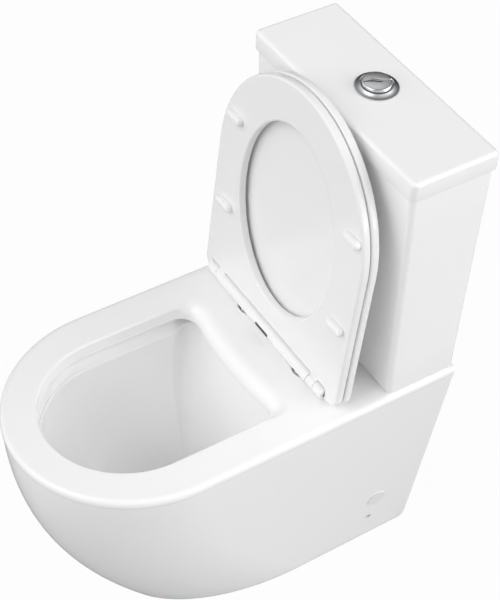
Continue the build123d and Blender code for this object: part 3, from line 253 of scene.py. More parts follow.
# Flush button
BUTTON_R = 20 * MM
BUTTON_EDGE_R = 2.2 * MM
BUTTON_CROWN = 0.6 * MM
BUTTON_FOOT = BUTTON_TOP - 17 * MM
SPLIT_TURN = -21
SPLIT_SWAY = 2.5 * MM
SPLIT_GAP = 0.6 * MM
SPLIT_ROUND = 0.25
ROUND_MARGIN = 0.05 * MM
BEZEL_BORE_R = 20.5 * MM
BEZEL_SIDE = 1.2 * MM
BEZEL_FLARE = 8 * MM
BEZEL_OUT_CURVE = 0.8
BEZEL_UP_CURVE = 1.5
BEZEL_FOOT_EDGE = (0.3 * MM, 0.4 * MM)
BEZEL_MOUTH_EDGE = (0.5 * MM, 0.3 * MM)


# Curves and patches

def arc(centre, radii, start, end, count):
    """Points on an ellipse from one angle to another: centre plus radii times cosine and sine."""
    turn = np.radians(np.linspace(start, end, count))
    return np.column_stack([centre[0] + radii[0] * np.cos(turn), centre[1] + radii[1] * np.sin(turn)])


def chain(*runs):
    """Closed loop through runs of points, each of which ends where the next one starts."""
    return np.concatenate([run[:-1] for run in runs])


def evened(loop, count):
    """Closed loop sampled again at equal steps of its length."""
    shut = np.vstack([loop, loop[:1]])
    along = np.concatenate([[0], np.cumsum(np.linalg.norm(np.diff(shut, axis=0), axis=1))])
    places = np.linspace(0, along[-1], count, endpoint=False)
    return np.column_stack([np.interp(places, along, shut[:, axis]) for axis in (0, 1)])


def eased(loop, reach):
    """Closed loop with each point moved to the mean of its neighbours, so straight runs flow into arcs."""
    return sum(np.roll(loop, step, axis=0) for step in range(-reach, reach + 1)) / (2 * reach + 1)


def outward(loop):
    """Unit normals of a loop that runs anticlockwise, pointing away from its inside."""
    along = np.roll(loop, -1, axis=0) - np.roll(loop, 1, axis=0)
    normal = np.column_stack([along[:, 1], -along[:, 0]])
    return normal / np.linalg.norm(normal, axis=1, keepdims=True)


def ease(value, low, high):
    """Smooth step from 0 at low to 1 at high."""
    share = np.clip((value - low) / (high - low), 0, 1)
    return share * share * (3 - 2 * share)


def quarter(count):
    """Sine and one minus cosine of a quarter turn, for a rounded edge."""
    turn = np.linspace(0, math.pi / 2, count)
    return np.sin(turn), 1 - np.cos(turn)


def rolled(loop, outset, height, share=1.0):
    """Profile carried along a loop: each row is the loop moved outwards by its outset, at its height.
    The share, one number or one for each point of the loop, scales the outset."""
    step = np.outer(outset, np.ones(len(loop)) * share)
    plan = loop[None] + step[:, :, None] * outward(loop)
    level = np.broadcast_to(np.asarray(height)[:, None, None], plan.shape[:2] + (1,))
    return np.concatenate([plan, level], axis=2)


def lifted(loop, height):
    """Flat loop of points at one height."""
    return np.column_stack([loop, np.full(len(loop), height)])


def grid(points, closed=False, flip=False):
    """Quads between the neighbouring rows and columns of an array of points."""
    rows, columns = points.shape[:2]
    index = np.arange(rows * columns).reshape(rows, columns)
    if closed:
        index = np.column_stack([index, index[:, 0]])
    corners = [index[:-1, :-1], index[:-1, 1:], index[1:, 1:], index[1:, :-1]]
    quads = np.stack(corners, axis=-1).reshape(-1, 4)
    return points.reshape(-1, 3), quads[:, ::-1] if flip else quads


def filled(loops, facing):
    """Triangles over a flat outline, the first loop, around the holes, the other loops."""
    points = np.concatenate(loops)
    triangles = np.array(tessellate_polygon([[Vector(point) for point in loop] for loop in loops]))
    a, b, c = points[triangles].transpose(1, 0, 2)
    turned = np.cross(b - a, c - a) @ np.array(facing) < 0
    triangles[turned] = triangles[turned][:, ::-1]
    return points, triangles


def domed(loop, height, crown):
    """Cap over a loop: rings that shrink to its middle and rise by the crown on a parabola."""
    share = np.linspace(1, 0, 14)[:, None, None]
    middle = (loop.max(axis=0) + loop.min(axis=0)) / 2
    plan = middle + (loop - middle)[None] * share
    level = np.broadcast_to(height + crown * (1 - share ** 2), plan.shape[:2] + (1,))
    return grid(np.concatenate([plan, level], axis=2), closed=True)


def spun(centre, profile, count=96):
    """Profile of radius and height turned about an upright axis."""
    turn = np.linspace(0, 2 * math.pi, count, endpoint=False)
    radius, height = np.array(profile).T
    x = centre[0] + radius[:, None] * np.cos(turn)
    y = centre[1] + radius[:, None] * np.sin(turn)
    z = np.broadcast_to(height[:, None], x.shape)
    return grid(np.stack([x, y, z], axis=2), closed=True)


def barrel(x0, x1, radius, edge, count=48):
    """Cylinder along the hinge's axis with rounded ends: a profile turned about X."""
    sine, rest = quarter(5)
    along = np.concatenate([[x0], x0 + edge * rest, x1 - edge * rest[::-1], [x1]])
    size = np.concatenate([[0], radius - edge + edge * sine, radius - edge + edge * sine[::-1], [0]])
    turn = np.linspace(0, 2 * math.pi, count, endpoint=False)
    y = HINGE_Y + size[:, None] * np.cos(turn)
    z = HINGE_Z + size[:, None] * np.sin(turn)
    x = np.broadcast_to(along[:, None], y.shape)
    return grid(np.stack([x, y, z], axis=2), closed=True)


def slab(loop, low, high, edge):
    """Plate over a loop with rounded edges above and below, and flat faces."""
    sine, rest = quarter(5)
    outset = np.concatenate([edge * (sine - 1), edge * (sine - 1)[::-1]])
    height = np.concatenate([low + edge * rest, high - edge * rest[::-1]])
    wall = rolled(loop, outset, height)
    return [grid(wall, closed=True), filled([wall[-1]], (0, 0, 1)), filled([wall[0]], (0, 0, -1))]


def box_loop(x0, x1, y0, y1, radius):
    """Rectangle with rounded corners, anticlockwise from the corner at its front right."""
    left, right, front, rear = x0 + radius, x1 - radius, y0 + radius, y1 - radius
    corners = [(right, front), (right, rear), (left, rear), (left, front)]
    starts = (-90, 0, 90, 180)
    return np.concatenate([arc(corner, (radius, radius), start, start + 90, 8)
                           for corner, start in zip(corners, starts)])


def raised(patches):
    """Patches drawn with the seat shut, turned up about the hinge to where it rests."""
    turn = math.radians(-SEAT_LEAN)
    matrix = np.array([[1, 0, 0], [0, math.cos(turn), -math.sin(turn)], [0, math.sin(turn), math.cos(turn)]])
    centre = np.array([0, HINGE_Y, HINGE_Z])
    return [((points - centre) @ matrix.T + centre, faces) for points, faces in patches]


def piece(name, patches, finish, body, *nodes, crease=38):
    """One object from patches, welded where they meet, with edges sharper than the crease angle kept."""
    starts = np.cumsum([0] + [len(points) for points, faces in patches])
    faces = [face for (points, cells), start in zip(patches, starts) for face in (cells + start).tolist()]
    mesh = bpy.data.meshes.new(name)
    mesh.from_pydata(np.concatenate([points for points, cells in patches]).tolist(), [], faces)
    work = bmesh.new()
    work.from_mesh(mesh)
    bmesh.ops.remove_doubles(work, verts=work.verts, dist=WELD)
    work.to_mesh(mesh)
    work.free()
    mesh.shade_smooth()
    mesh.set_sharp_from_angle(angle=math.radians(crease))
    mesh.materials.append(FINISHES[finish])
    thing = bpy.data.objects.new(name, mesh)
    bpy.context.scene.collection.objects.link(thing)
    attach(thing, body)
    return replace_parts(thing, *nodes)


# Materials

def linear(code):
    """sRGB hex colour as linear red, green, blue and alpha."""
    parts = [int(code[start:start + 2], 16) / 255 for start in (0, 2, 4)]
    return [part / 12.92 if part <= 0.04045 else ((part + 0.055) / 1.055) ** 2.4 for part in parts] + [1]


def add(tree, kind, links=(), **settings):
    """A node with its settings; each link is an input and the socket that feeds it."""
    node = tree.nodes.new(kind)
    for key, value in settings.items():
        if hasattr(node, key):
            setattr(node, key, value)
        else:
            node.inputs[key.replace("_", " ")].default_value = value
    for name, socket in links:
        tree.links.new(socket, node.inputs[name])
    return node


def finish(name, shades, roughness, wave_mm, depth_mm, rough_spread=0.03, **shader):
    """Surface whose colour, gloss and level drift over a wave of a real size in millimetres."""
    material = bpy.data.materials.new(name)
    material.use_nodes = True
    tree = material.node_tree
    surface = tree.nodes["Principled BSDF"]
    for key, value in shader.items():
        surface.inputs[key.replace("_", " ")].default_value = value
    place = add(tree, "ShaderNodeTexCoord")
    drift = add(tree, "ShaderNodeTexNoise", [("Vector", place.outputs["Object"])],
                Scale=1 / (wave_mm * MM), Detail=2.0)
    ramp = add(tree, "ShaderNodeValToRGB", [("Fac", drift.outputs["Fac"])])
    ramp.color_ramp.elements[0].color = linear(shades[0])
    ramp.color_ramp.elements[1].color = linear(shades[1])
    gloss = add(tree, "ShaderNodeMapRange", [("Value", drift.outputs["Fac"])])
    gloss.inputs["To Min"].default_value = max(roughness - rough_spread, 0)
    gloss.inputs["To Max"].default_value = roughness + rough_spread
    bump = add(tree, "ShaderNodeBump", [("Height", drift.outputs["Fac"])],
               Distance=depth_mm * MM, Strength=1.0)
    tree.links.new(ramp.outputs["Color"], surface.inputs["Base Color"])
    tree.links.new(gloss.outputs["Result"], surface.inputs["Roughness"])
    tree.links.new(bump.outputs["Normal"], surface.inputs["Normal"])
    return material


# Each finish has two shades, a roughness, the wave and depth of its drift in millimetres and the spread of
# its roughness.
FINISHES = {
    # Fired glaze over slip-cast china: a deep wet gloss that ripples very slightly over about 60 mm.
    "vitreous_china": finish("glazed_vitreous_china", ("FCFCFC", "FDFDFD"), 0.06, 60, 0.05, 0.02, IOR=1.52),
    # Pressed urea resin: white with a soft polish, flatter than the glaze.
    "white_seat_plastic": finish("pressed_urea_seat", ("F5F5F5", "F8F8F8"), 0.16, 45, 0.02, 0.03, IOR=1.5),
    # Moulded soft rubber pads: a satin skin that spreads highlights.
    "white_buffer": finish("moulded_white_rubber", ("F7F7F7", "FAFAFA"), 0.34, 3, 0.02, 0.05),
    # Moulded black button: dark satin.
    "dark_plastic": finish("moulded_black_acetal", ("0B0B0C", "141415"), 0.35, 2, 0.01, 0.06),
    # Chrome over moulded plastic: a mirror whose gloss changes faintly from place to place.
    "chromed_plastic": finish("chrome_plated_abs", ("D6D8DB", "E2E4E6"), 0.05, 14, 0.0, 0.025, Metallic=1.0),
    # Moulded valve bodies: plain white polypropylene with a dull skin.
    "white_plastic": finish("moulded_white_polypropylene", ("EEEEEE", "F2F2F2"), 0.38, 2, 0.02, 0.06),
    # Moulded levers and float: blue polypropylene with a dull skin.
    "blue_plastic": finish("moulded_blue_polypropylene", ("1D4E8C", "2458A0"), 0.4, 2, 0.02, 0.06),
    # Moulded washers and seals: matt black rubber with a faint bloom.
    "black_rubber": finish("moulded_black_rubber", ("141414", "202020"), 0.7, 1.5, 0.04, 0.1),
    # Plated fixings: bluish grey zinc with a cloudy gloss.
    "zinc_plated_steel": finish("zinc_plated_steel", ("B9BBBD", "CBCDCF"), 0.32, 4, 0.01, 0.08, Metallic=1.0),
    # Drawn wire and turned pins: bright steel.
    "stainless_steel": finish("drawn_stainless_steel", ("BEBDBB", "CFCECC"), 0.24, 2, 0.01, 0.06,
                              Metallic=1.0),
}


# Pan

SIDE_STEPS = 34
NOSE_STEPS = 150
NOSE_TURN = np.radians(np.linspace(180, 360, NOSE_STEPS))
SIDE_SHARE = np.linspace(1, 0, SIDE_STEPS, endpoint=False)
ACROSS = np.concatenate([-np.ones(SIDE_STEPS), np.cos(NOSE_TURN), np.ones(SIDE_STEPS)])
AHEAD = np.concatenate([np.zeros(SIDE_STEPS), np.sin(NOSE_TURN), np.zeros(SIDE_STEPS)])
BEHIND = np.concatenate([SIDE_SHARE, np.zeros(NOSE_STEPS), SIDE_SHARE[::-1]])


def pan_rows(height, outset):
    """Open D outlines of the pan, one a row: straight sides run into half an ellipse at the nose.
    Up the pan the sides spread evenly and the front comes forward on a power curve. The rear stands upright
    on a foot that is rounded by an arc."""
    up = np.minimum(height / BODY_TOP, 1)
    half = FOOT_HALF + (RIM_HALF - RIM_BAND_STEP - FOOT_HALF) * up + outset
    front = NOSE_Y + RIM_BAND_STEP + FOOT_SETBACK * (1 - up) ** FRONT_CURVE - outset
    nose = FOOT_NOSE + (RIM_NOSE - FOOT_NOSE) * up + outset
    dip = np.maximum(FOOT_REAR_R - height, 0)
    rear = WALL_Y - FOOT_REAR_R + np.sqrt(FOOT_REAR_R ** 2 - dip ** 2)
    start = front + nose
    x = half[:, None] * ACROSS
    y = start[:, None] + nose[:, None] * AHEAD + (rear - start)[:, None] * BEHIND
    z = np.broadcast_to(height[:, None], x.shape)
    return np.stack([x, y, z], axis=2)


def opening_loop(count):
    """Edge of the bowl from above: an elliptical nose, straight sides, round rear corners and a rear edge
    that bows towards the nose on a parabola."""
    nose_y = BOWL_FRONT + BOWL_NOSE
    bow_half = BOWL_HALF - BOWL_CORNER_R
    across = np.linspace(bow_half, -bow_half, 40)
    bow = np.column_stack([across, BOWL_REAR - DECK_BOW * (1 - (across / BOWL_HALF) ** 2)])
    corner_y = bow[0, 1] - BOWL_CORNER_R
    corner = (BOWL_CORNER_R, BOWL_CORNER_R)
    loop = chain(arc((0, nose_y), (BOWL_HALF, BOWL_NOSE), -90, 0, 80),
                 np.array([[BOWL_HALF, nose_y], [BOWL_HALF, corner_y]]),
                 arc((bow_half, corner_y), corner, 0, 90, 40),
                 bow,
                 arc((-bow_half, corner_y), corner, 90, 180, 40),
                 np.array([[-BOWL_HALF, corner_y], [-BOWL_HALF, nose_y]]),
                 arc((0, nose_y), (BOWL_HALF, BOWL_NOSE), 180, 270, 80))
    return eased(evened(loop, count), 3)


OPENING = opening_loop(300)


def guide_depth():
    """How far the water guide runs out under the rim at each point of the opening: even along the sides,
    deeper at the rear and deepest in the rear corners, and fading out towards the nose. With it comes how
    far the edge there counts as rear, a smooth step of the way it faces."""
    across, back = outward(OPENING).T
    rear = ease(back, *REAR_FACING)
    corner = ease(np.minimum(np.abs(across), back), *CORNER_FACING)
    side = ease(OPENING[:, 1], BOWL_FRONT + GUIDE_START, BOWL_FRONT + GUIDE_FULL)
    return GUIDE_SIDE * side + (GUIDE_REAR - GUIDE_SIDE) * rear + GUIDE_CORNER * corner, rear


def bowl_edge_rows():
    """Rounded inner edge of the rim, wider at the rear, and an upright lip that ends on a slight bead. The
    hollow water guide below it is a bulge outwards, a power of a sine, that ends on a rounded ledge. In the
    middle of the rear it is deep enough to meet the flush way."""
    depth, rear = guide_depth()
    sine, rest = [part[:, None] for part in quarter(14)]
    reach = BOWL_EDGE_R + (APRON_REACH - BOWL_EDGE_R) * rear
    drop = BOWL_EDGE_R + (APRON_DROP - BOWL_EDGE_R) * rear
    lip = LIP + (BEAD_HEIGHT - LIP) * rear
    foot = RIM_TOP - drop - lip
    turn = np.linspace(0, 1, 9)[:, None]
    bead = -BEAD * np.sin(math.pi * turn) ** 2 * (1 - rear)
    ledge = -GUIDE_LEDGE + (GUIDE_REAR + GUIDE_LEDGE) * rear
    middle = ease(-np.abs(OPENING[:, 0]), -EXIT_HALF, -EXIT_EDGE * EXIT_HALF)
    depth = depth + EXIT_DEPTH * rear * middle
    down = np.linspace(0, 1, 20)[1:, None]
    bulge = np.sin(math.pi * down) ** GUIDE_CURVE
    guide = down * (ledge + LEDGE_R) + (depth - np.maximum(ledge, 0) * down) * bulge
    outset = np.concatenate([[APRON_FLAT * reach], reach * (1 - sine), bead, guide,
                             ledge + LEDGE_R * (1 - sine[1:])])
    height = np.concatenate([[RIM_TOP + 0 * foot], RIM_TOP - drop * rest, foot + BEAD_HEIGHT * (1 - turn),
                             foot + (LEDGE_Z - foot) * down, LEDGE_Z - LEDGE_R * rest[1:] + 0 * foot])
    plan = OPENING[None] + outset[:, :, None] * outward(OPENING)
    return np.concatenate([plan, height[:, :, None]], axis=2)


def bowl_rows(ledge, grow):
    """Bowl from its ledge to the throat of the trap. Level rings shrink on power curves to the edge of the
    sump and evenly below it to the dip, growing rounder on the way. They then swing about the dip like a fan
    to end as the round throat. Grow is the wall for the outside of the bowl and 0 for its inside."""
    dip = np.array([DIP_Y + grow, DIP_Z])
    down = np.linspace(0, 1, 60)[1:]
    height = WALL_TOP + (DIP_Z - WALL_TOP) * down
    low, high = ledge.min(axis=0), ledge.max(axis=0)
    fall = np.clip((WALL_TOP - height) / (WALL_TOP - SUMP_RIM_Z), 0, 1)
    sink = np.clip((SUMP_RIM_Z - height) / (SUMP_RIM_Z - DIP_Z), 0, 1)
    half = high[0] + (SUMP_RIM_HALF + grow - high[0]) * fall ** BOWL_SIDE_CURVE
    half = half + (SUMP_HALF - SUMP_RIM_HALF) * sink
    front = low[1] + (SUMP_RIM_FRONT - grow - low[1]) * fall ** BOWL_FRONT_CURVE
    front = front + (SUMP_FRONT - SUMP_RIM_FRONT) * sink
    rear = high[1] + (dip[0] - high[1]) * down
    across = ledge[:, 0] / high[0]
    back = (ledge[:, 1] - low[1]) / (high[1] - low[1])
    angle = np.arctan2(2 * back - 1, across)
    rounding = SUMP_ROUND * down[:, None] ** 2
    plan_x = across + (np.cos(angle) - across) * rounding
    plan_y = back + ((1 + np.sin(angle)) / 2 - back) * rounding
    x = half[:, None] * plan_x
    y = front[:, None] + (rear - front)[:, None] * plan_y
    level = np.stack([x, y, np.broadcast_to(height[:, None], x.shape)], axis=2)
    turn = np.linspace(0, math.pi / 2, 26)[1:, None]
    swing = turn / (math.pi / 2)
    throat_half = TRAP_R + grow
    throat = THROAT + 2 * grow
    reach = (rear[-1] - front[-1]) ** (1 - swing) * throat ** swing
    width = half[-1] ** (1 - swing) * throat_half ** swing
    fan_x = width * (plan_x[-1] * (1 - swing) + np.cos(angle) * swing)
    ahead = reach * ((1 - plan_y[-1]) * (1 - swing) + (1 - np.sin(angle)) / 2 * swing)
    fan_y = dip[0] - ahead * np.cos(turn)
    fan_z = dip[1] + grow * swing - ahead * np.sin(turn)
    return np.concatenate([level, np.stack([fan_x, fan_y, fan_z], axis=2)]), angle


def rounded_path(corners, radius, count):
    """Route through corner points, each corner replaced by an arc that touches both runs."""
    corners = np.array(corners)
    route = [corners[:1]]
    for before, corner, after in zip(corners, corners[1:], corners[2:]):
        back = (before - corner) / np.linalg.norm(before - corner)
        on = (after - corner) / np.linalg.norm(after - corner)
        half_angle = math.acos(np.clip(back @ on, -1, 1)) / 2
        middle = corner + (back + on) / np.linalg.norm(back + on) * radius / math.sin(half_angle)
        first = corner + back * radius / math.tan(half_angle) - middle
        last = corner + on * radius / math.tan(half_angle) - middle
        sweep = math.atan2(first[0] * last[1] - first[1] * last[0], first @ last)
        turn = np.linspace(0, sweep, count)[:, None]
        across = np.array([-first[1], first[0]])
        route.append(middle + first * np.cos(turn) + across * np.sin(turn))
    return np.concatenate(route + [corners[-1:]])


def pipe_rows(start_y, radius, angle, end_y, end_radius):
    """Trapway and soil outlet: rings about a route over the weir, then wider rings along the outlet."""
    centre_z = DIP_Z - THROAT / 2
    foot = (OUTLET_FRONT - TRAP_R - TRAP_WALL, OUTLET_Z)
    corners = [(start_y, centre_z), (start_y + TRAP_RUN, centre_z), TRAP_PEAK, foot, (end_y, OUTLET_Z)]
    route = rounded_path(corners, TRAP_BEND_R, 16)
    route = np.vstack([route, route[-1:], [(OUTLET_REAR, OUTLET_Z)]])
    size = np.full(len(route), radius)
    size[-2:] = end_radius
    along = np.gradient(route, axis=0)
    along[-3:] = (1, 0)
    along /= np.linalg.norm(along, axis=1, keepdims=True)
    x = size[:, None] * np.cos(angle)
    rise = size[:, None] * np.sin(angle)
    y = route[:, :1] - along[:, 1:] * rise
    z = route[:, 1:] + along[:, :1] * rise
    return np.stack([x, y, z], axis=2)


def circle(x, y, radius, count=40):
    """Round loop."""
    return arc((x, y), (radius, radius), 0, 360, count + 1)[:-1]


def screw_hole(skin, columns):
    """Patch of a pan side around the screw's hole: the cells between two columns and two rows give way to a
    flat piece with a round hole and a short tube behind it."""
    rows = np.searchsorted(skin[:, 0, 2], [SCREW_Z - SCREW_PATCH, SCREW_Z + SCREW_PATCH])
    (r0, r1), (c0, c1) = rows, columns
    edge = np.concatenate([skin[r0, c0:c1], skin[r0:r1, c1], skin[r1, c1:c0:-1], skin[r1:r0:-1, c0]])
    side = np.sign(edge[0, 0])
    lean = (RIM_HALF - RIM_BAND_STEP - FOOT_HALF) / BODY_TOP
    ring = circle(SCREW_Y, SCREW_Z, SCREW_HOLE_R)
    mouth = np.column_stack([side * (FOOT_HALF + lean * ring[:, 1]), ring])
    tube = np.stack([mouth, mouth - np.array([side * PAN_WALL, 0, 0])])
    return (r0, r1, c0, c1), [filled([edge, mouth], (side, 0, 0)), grid(tube, closed=True, flip=side < 0)]


def without(patch, shape, gaps):
    """Grid patch with the cells between given rows and columns left out."""
    points, quads = patch
    keep = np.ones((shape[0] - 1, shape[1] - 1), bool)
    for r0, r1, c0, c1 in gaps:
        keep[r0:r1, c0:c1] = False
    return points, quads[keep.ravel()]


def flush_way():
    """Channel below the deck from the cistern's outlet to the bowl: a long slot with a rounded foot edge."""
    front = BOWL_REAR + GUIDE_REAR
    loop = np.concatenate([[(-DUCT_HALF, front), (DUCT_HALF, front)],
                           arc((0, FLUSH_Y), (DUCT_HALF, DUCT_HALF), 0, 180, 40)])
    sine, rest = quarter(6)
    outset = np.concatenate([DUCT_EDGE_R * (sine - 1), [0]])
    height = np.concatenate([DUCT_FOOT + DUCT_EDGE_R * rest, [DECK_UNDER]])
    wall = rolled(loop, outset, height)
    return [grid(wall, closed=True), filled([wall[0]], (0, 0, -1))]


def make_pan():
    """Pan: skin, deck, bowl, trapway and the hollow behind, as patches that share their edges."""
    sine, rest = quarter(9)
    foot_sine, foot_rest = quarter(5)
    body = np.linspace(FOOT_EDGE_R, DECK_UNDER, 52)
    height = np.concatenate([FOOT_EDGE_R * foot_rest[:-1], body, BODY_TOP + BAND_HEIGHTS,
                             RIM_TOP - RIM_EDGE_R + RIM_EDGE_R * sine, [RIM_TOP]])
    outset = np.concatenate([FOOT_EDGE_R * (foot_sine[:-1] - 1), np.zeros(len(body)), BAND_OUTSETS,
                             RIM_BAND_STEP - RIM_EDGE_R * rest, [RIM_BAND_STEP - EDGE_FLAT * RIM_EDGE_R]])
    skin = pan_rows(height, outset)
    hollow_rows = len(foot_rest) - 1 + len(body)
    hollow = pan_rows(height[:hollow_rows], np.full(hollow_rows, -PAN_WALL))
    edge = bowl_edge_rows()
    inside, angle = bowl_rows(edge[-1, :, :2], 0)
    collar = OPENING + (guide_depth()[0] + BOWL_WALL)[:, None] * outward(OPENING)
    outside, outer_angle = bowl_rows(collar, BOWL_WALL)
    outside = np.concatenate([lifted(collar, DECK_UNDER)[None], lifted(collar, WALL_TOP)[None], outside])
    bore = pipe_rows(DIP_Y, TRAP_R, angle, OUTLET_FRONT + TRAP_WALL, OUTLET_BORE_R)
    pipe = pipe_rows(DIP_Y + BOWL_WALL, TRAP_R + TRAP_WALL, outer_angle, OUTLET_FRONT, OUTLET_R)
    holes = [circle(INLET_X, FLUSH_Y, INLET_ACCESS_R)]
    holes += [circle(side * MOUNT_X, MOUNT_Y, MOUNT_HOLE_R) for side in (-1, 1)]
    hole_walls = [np.stack([lifted(hole, RIM_TOP), lifted(hole, DECK_UNDER)]) for hole in holes]
    last = skin.shape[1] - 1
    gap_right, right = screw_hole(skin, (last - SCREW_COLUMNS[1], last - SCREW_COLUMNS[0]))
    gap_left, left = screw_hole(skin, SCREW_COLUMNS)
    rear_loop = np.concatenate([skin[hollow_rows - 1:, 0], skin[:hollow_rows - 2:-1, -1],
                                hollow[-1:, -1], hollow[-1:, 0]])
    patches = [without(grid(skin), skin.shape, [gap_right, gap_left]), *right, *left]
    patches += [grid(hollow, flip=True), grid(np.stack([hollow[0], skin[0]]))]
    patches += [filled([skin[-1], edge[0]] + [wall[0] for wall in hole_walls], (0, 0, 1))]
    patches += [filled([hollow[-1], outside[0]] + [wall[1] for wall in hole_walls], (0, 0, -1))]
    patches += [filled([rear_loop], (0, 1, 0))] + [grid(wall, closed=True) for wall in hole_walls]
    patches += [grid(np.stack([skin[:hollow_rows, -1], hollow[:, -1]]))]
    patches += [grid(np.stack([hollow[:, 0], skin[:hollow_rows, 0]]))]
    patches += [grid(np.concatenate([edge, inside, bore]), closed=True)]
    patches += [grid(np.concatenate([outside, pipe]), closed=True, flip=True)]
    patches += [grid(np.stack([bore[-1], pipe[-1]]), closed=True)]
    return piece("china_pan", patches + flush_way(), "vitreous_china", "base", "pan")


# Cistern

def tank_loop(half, front, rear, inset=0.0):
    """Cistern outline, anticlockwise, with round corners."""
    front_r = max(TANK_FRONT_R - inset, TANK_LEAST_R)
    rear_r = max(TANK_REAR_R - inset, TANK_LEAST_R)
    half, front, rear = half - inset, front + inset, rear - inset
    return np.concatenate([arc((half - front_r, front + front_r), (front_r, front_r), -90, 0, 20),
                           arc((half - rear_r, rear - rear_r), (rear_r, rear_r), 0, 90, 10),
                           arc((rear_r - half, rear - rear_r), (rear_r, rear_r), 90, 180, 10),
                           arc((front_r - half, front + front_r), (front_r, front_r), 180, 270, 20)])


def tank_at(height, inset):
    """Cistern outline at a height: it widens and deepens evenly from foot to rim."""
    up = (height - CISTERN_LOW[2]) / (CISTERN_HIGH[2] - CISTERN_LOW[2])
    half = TANK_FOOT_HALF + (TANK_HALF - TANK_FOOT_HALF) * up
    front = TANK_FOOT_FRONT + (TANK_FRONT - TANK_FOOT_FRONT) * up
    return lifted(tank_loop(half, front, TANK_REAR, inset), height)


def make_cistern():
    """Cistern: the outline carried up from a rounded foot, over the rim and down inside to the floor."""
    foot, rim = CISTERN_LOW[2], CISTERN_HIGH[2]
    floor = foot + TANK_BASE
    sine, rest = quarter(6)
    rows = [tank_at(foot, TANK_FOOT_FLAT * TANK_FOOT_R)]
    rows += [tank_at(foot + TANK_FOOT_R * up, TANK_FOOT_R * (1 - out)) for out, up in zip(sine, rest)]
    rows += [tank_at(height, 0) for height in np.linspace(foot + TANK_FOOT_R, rim - TANK_RIM_R, 8)[1:]]
    rows += [tank_at(rim - TANK_RIM_R * (1 - up), TANK_RIM_R * back) for up, back in zip(sine[1:], rest[1:])]
    rows += [tank_at(rim, TANK_WALL), tank_at(floor, TANK_WALL)]
    rows = np.stack(rows)
    patches = [grid(rows, closed=True), filled([rows[0]], (0, 0, -1)), filled([rows[-1]], (0, 0, 1))]
    return piece("china_cistern", patches, "vitreous_china", "base", "cistern")


def make_cistern_lid():
    """Cistern lid: the outline carried round a soft top edge, with a hole for the flush button and a
    hollow, lipped underside."""
    top, foot = TANK_LID_HIGH[2], TANK_LID_SEAM
    half, front, rear = TANK_LID_HIGH[0], TANK_LID_LOW[1], TANK_LID_HIGH[1]
    sine, rest = quarter(9)
    foot_sine, foot_rest = quarter(4)
    inset = np.concatenate([[TANK_LID_FOOT_FLAT * TANK_LID_FOOT_R], TANK_LID_FOOT_R * (1 - foot_sine),
                            TANK_LID_EDGE_R * rest, [EDGE_FLAT * TANK_LID_EDGE_R]])
    height = np.concatenate([[foot], foot + TANK_LID_FOOT_R * foot_rest,
                             top - TANK_LID_EDGE_R * (1 - sine), [top]])
    rows = [lifted(tank_loop(half, front, rear, step), level) for step, level in zip(inset, height)]
    lip_inside = TANK_LID_LIP_INSET + TANK_LID_LIP_WALL
    lip_foot = foot - TANK_LID_LIP
    under = [(lip_inside, top - TANK_LID_TOP_WALL), (lip_inside, lip_foot), (TANK_LID_LIP_INSET, lip_foot),
             (TANK_LID_LIP_INSET, foot)]
    inner = [lifted(tank_loop(TANK_HALF, TANK_FRONT, TANK_REAR, step), level) for step, level in under]
    wall = np.stack(inner + rows)
    hole = circle(0, FLUSH_Y, TANK_LID_HOLE_R, 72)
    bore = np.stack([lifted(hole, top), lifted(hole, top - TANK_LID_TOP_WALL)])
    patches = [grid(wall, closed=True), filled([wall[-1], bore[0]], (0, 0, 1)),
               filled([wall[0], bore[1]], (0, 0, -1)), grid(bore, closed=True)]
    return piece("china_cistern_lid", patches, "vitreous_china", "base", "cistern_lid")


# Seat and hinge

def seat_loop(grow=0.0, pocket=None):
    """Seat outline, anticlockwise from the nose: half an ellipse, straight sides and round rear corners.
    A pocket, given as left and right places across, steps the rear edge forward of the hinge bar."""
    half = SEAT_HALF + grow
    rear = HINGE_Y + SEAT_TAIL
    nose_y = HINGE_Y - SEAT_REACH - grow + SEAT_NOSE
    corner_y = rear - SEAT_CORNER_R
    corner = (SEAT_CORNER_R, SEAT_CORNER_R)
    turn_x = half - SEAT_CORNER_R
    nose = (half, SEAT_NOSE)
    right = [arc((0, nose_y), nose, -90, 0, 90),
             np.linspace((half, nose_y), (half, corner_y), 30),
             arc((turn_x, corner_y), corner, 0, 90, 16)]
    left = [np.linspace((-half, corner_y), (-half, nose_y), 30),
            arc((0, nose_y), nose, 180, 270, 90)]
    if pocket is None:
        middle = [np.linspace((turn_x, rear), (-turn_x, rear), 30),
                  arc((-turn_x, corner_y), corner, 90, 180, 16)]
        return chain(*right, *middle, *left) + np.array([SEAT_X, 0])
    x0, x1 = [place - SEAT_X for place in pocket]
    floor = HINGE_Y - POCKET
    size = (POCKET_R, POCKET_R)
    turned = math.degrees(math.acos((x0 + turn_x) / SEAT_CORNER_R))
    corner_end = arc((-turn_x, corner_y), corner, turned, 180, 14)
    middle = [np.linspace((turn_x, rear), (x1 + POCKET_R, rear), 4),
              arc((x1 + POCKET_R, rear - POCKET_R), size, 90, 180, 8),
              np.linspace((x1, rear - POCKET_R), (x1, floor + POCKET_R), 6),
              arc((x1 - POCKET_R, floor + POCKET_R), size, 360, 270, 8),
              np.linspace((x1 - POCKET_R, floor), (x0 + POCKET_R, floor), 40),
              arc((x0 + POCKET_R, floor + POCKET_R), size, 270, 180, 8),
              np.linspace((x0, floor + POCKET_R), corner_end[0], 6), corner_end]
    return chain(*right, *middle, *left) + np.array([SEAT_X, 0])


def ear_spans(first, length):
    """Spans along the hinge on both sides, a distance out from the bar's ends."""
    near, far = BAR_HIGH[0] + first, BAR_LOW[0] - first
    return [(near, near + length), (far - length, far)]


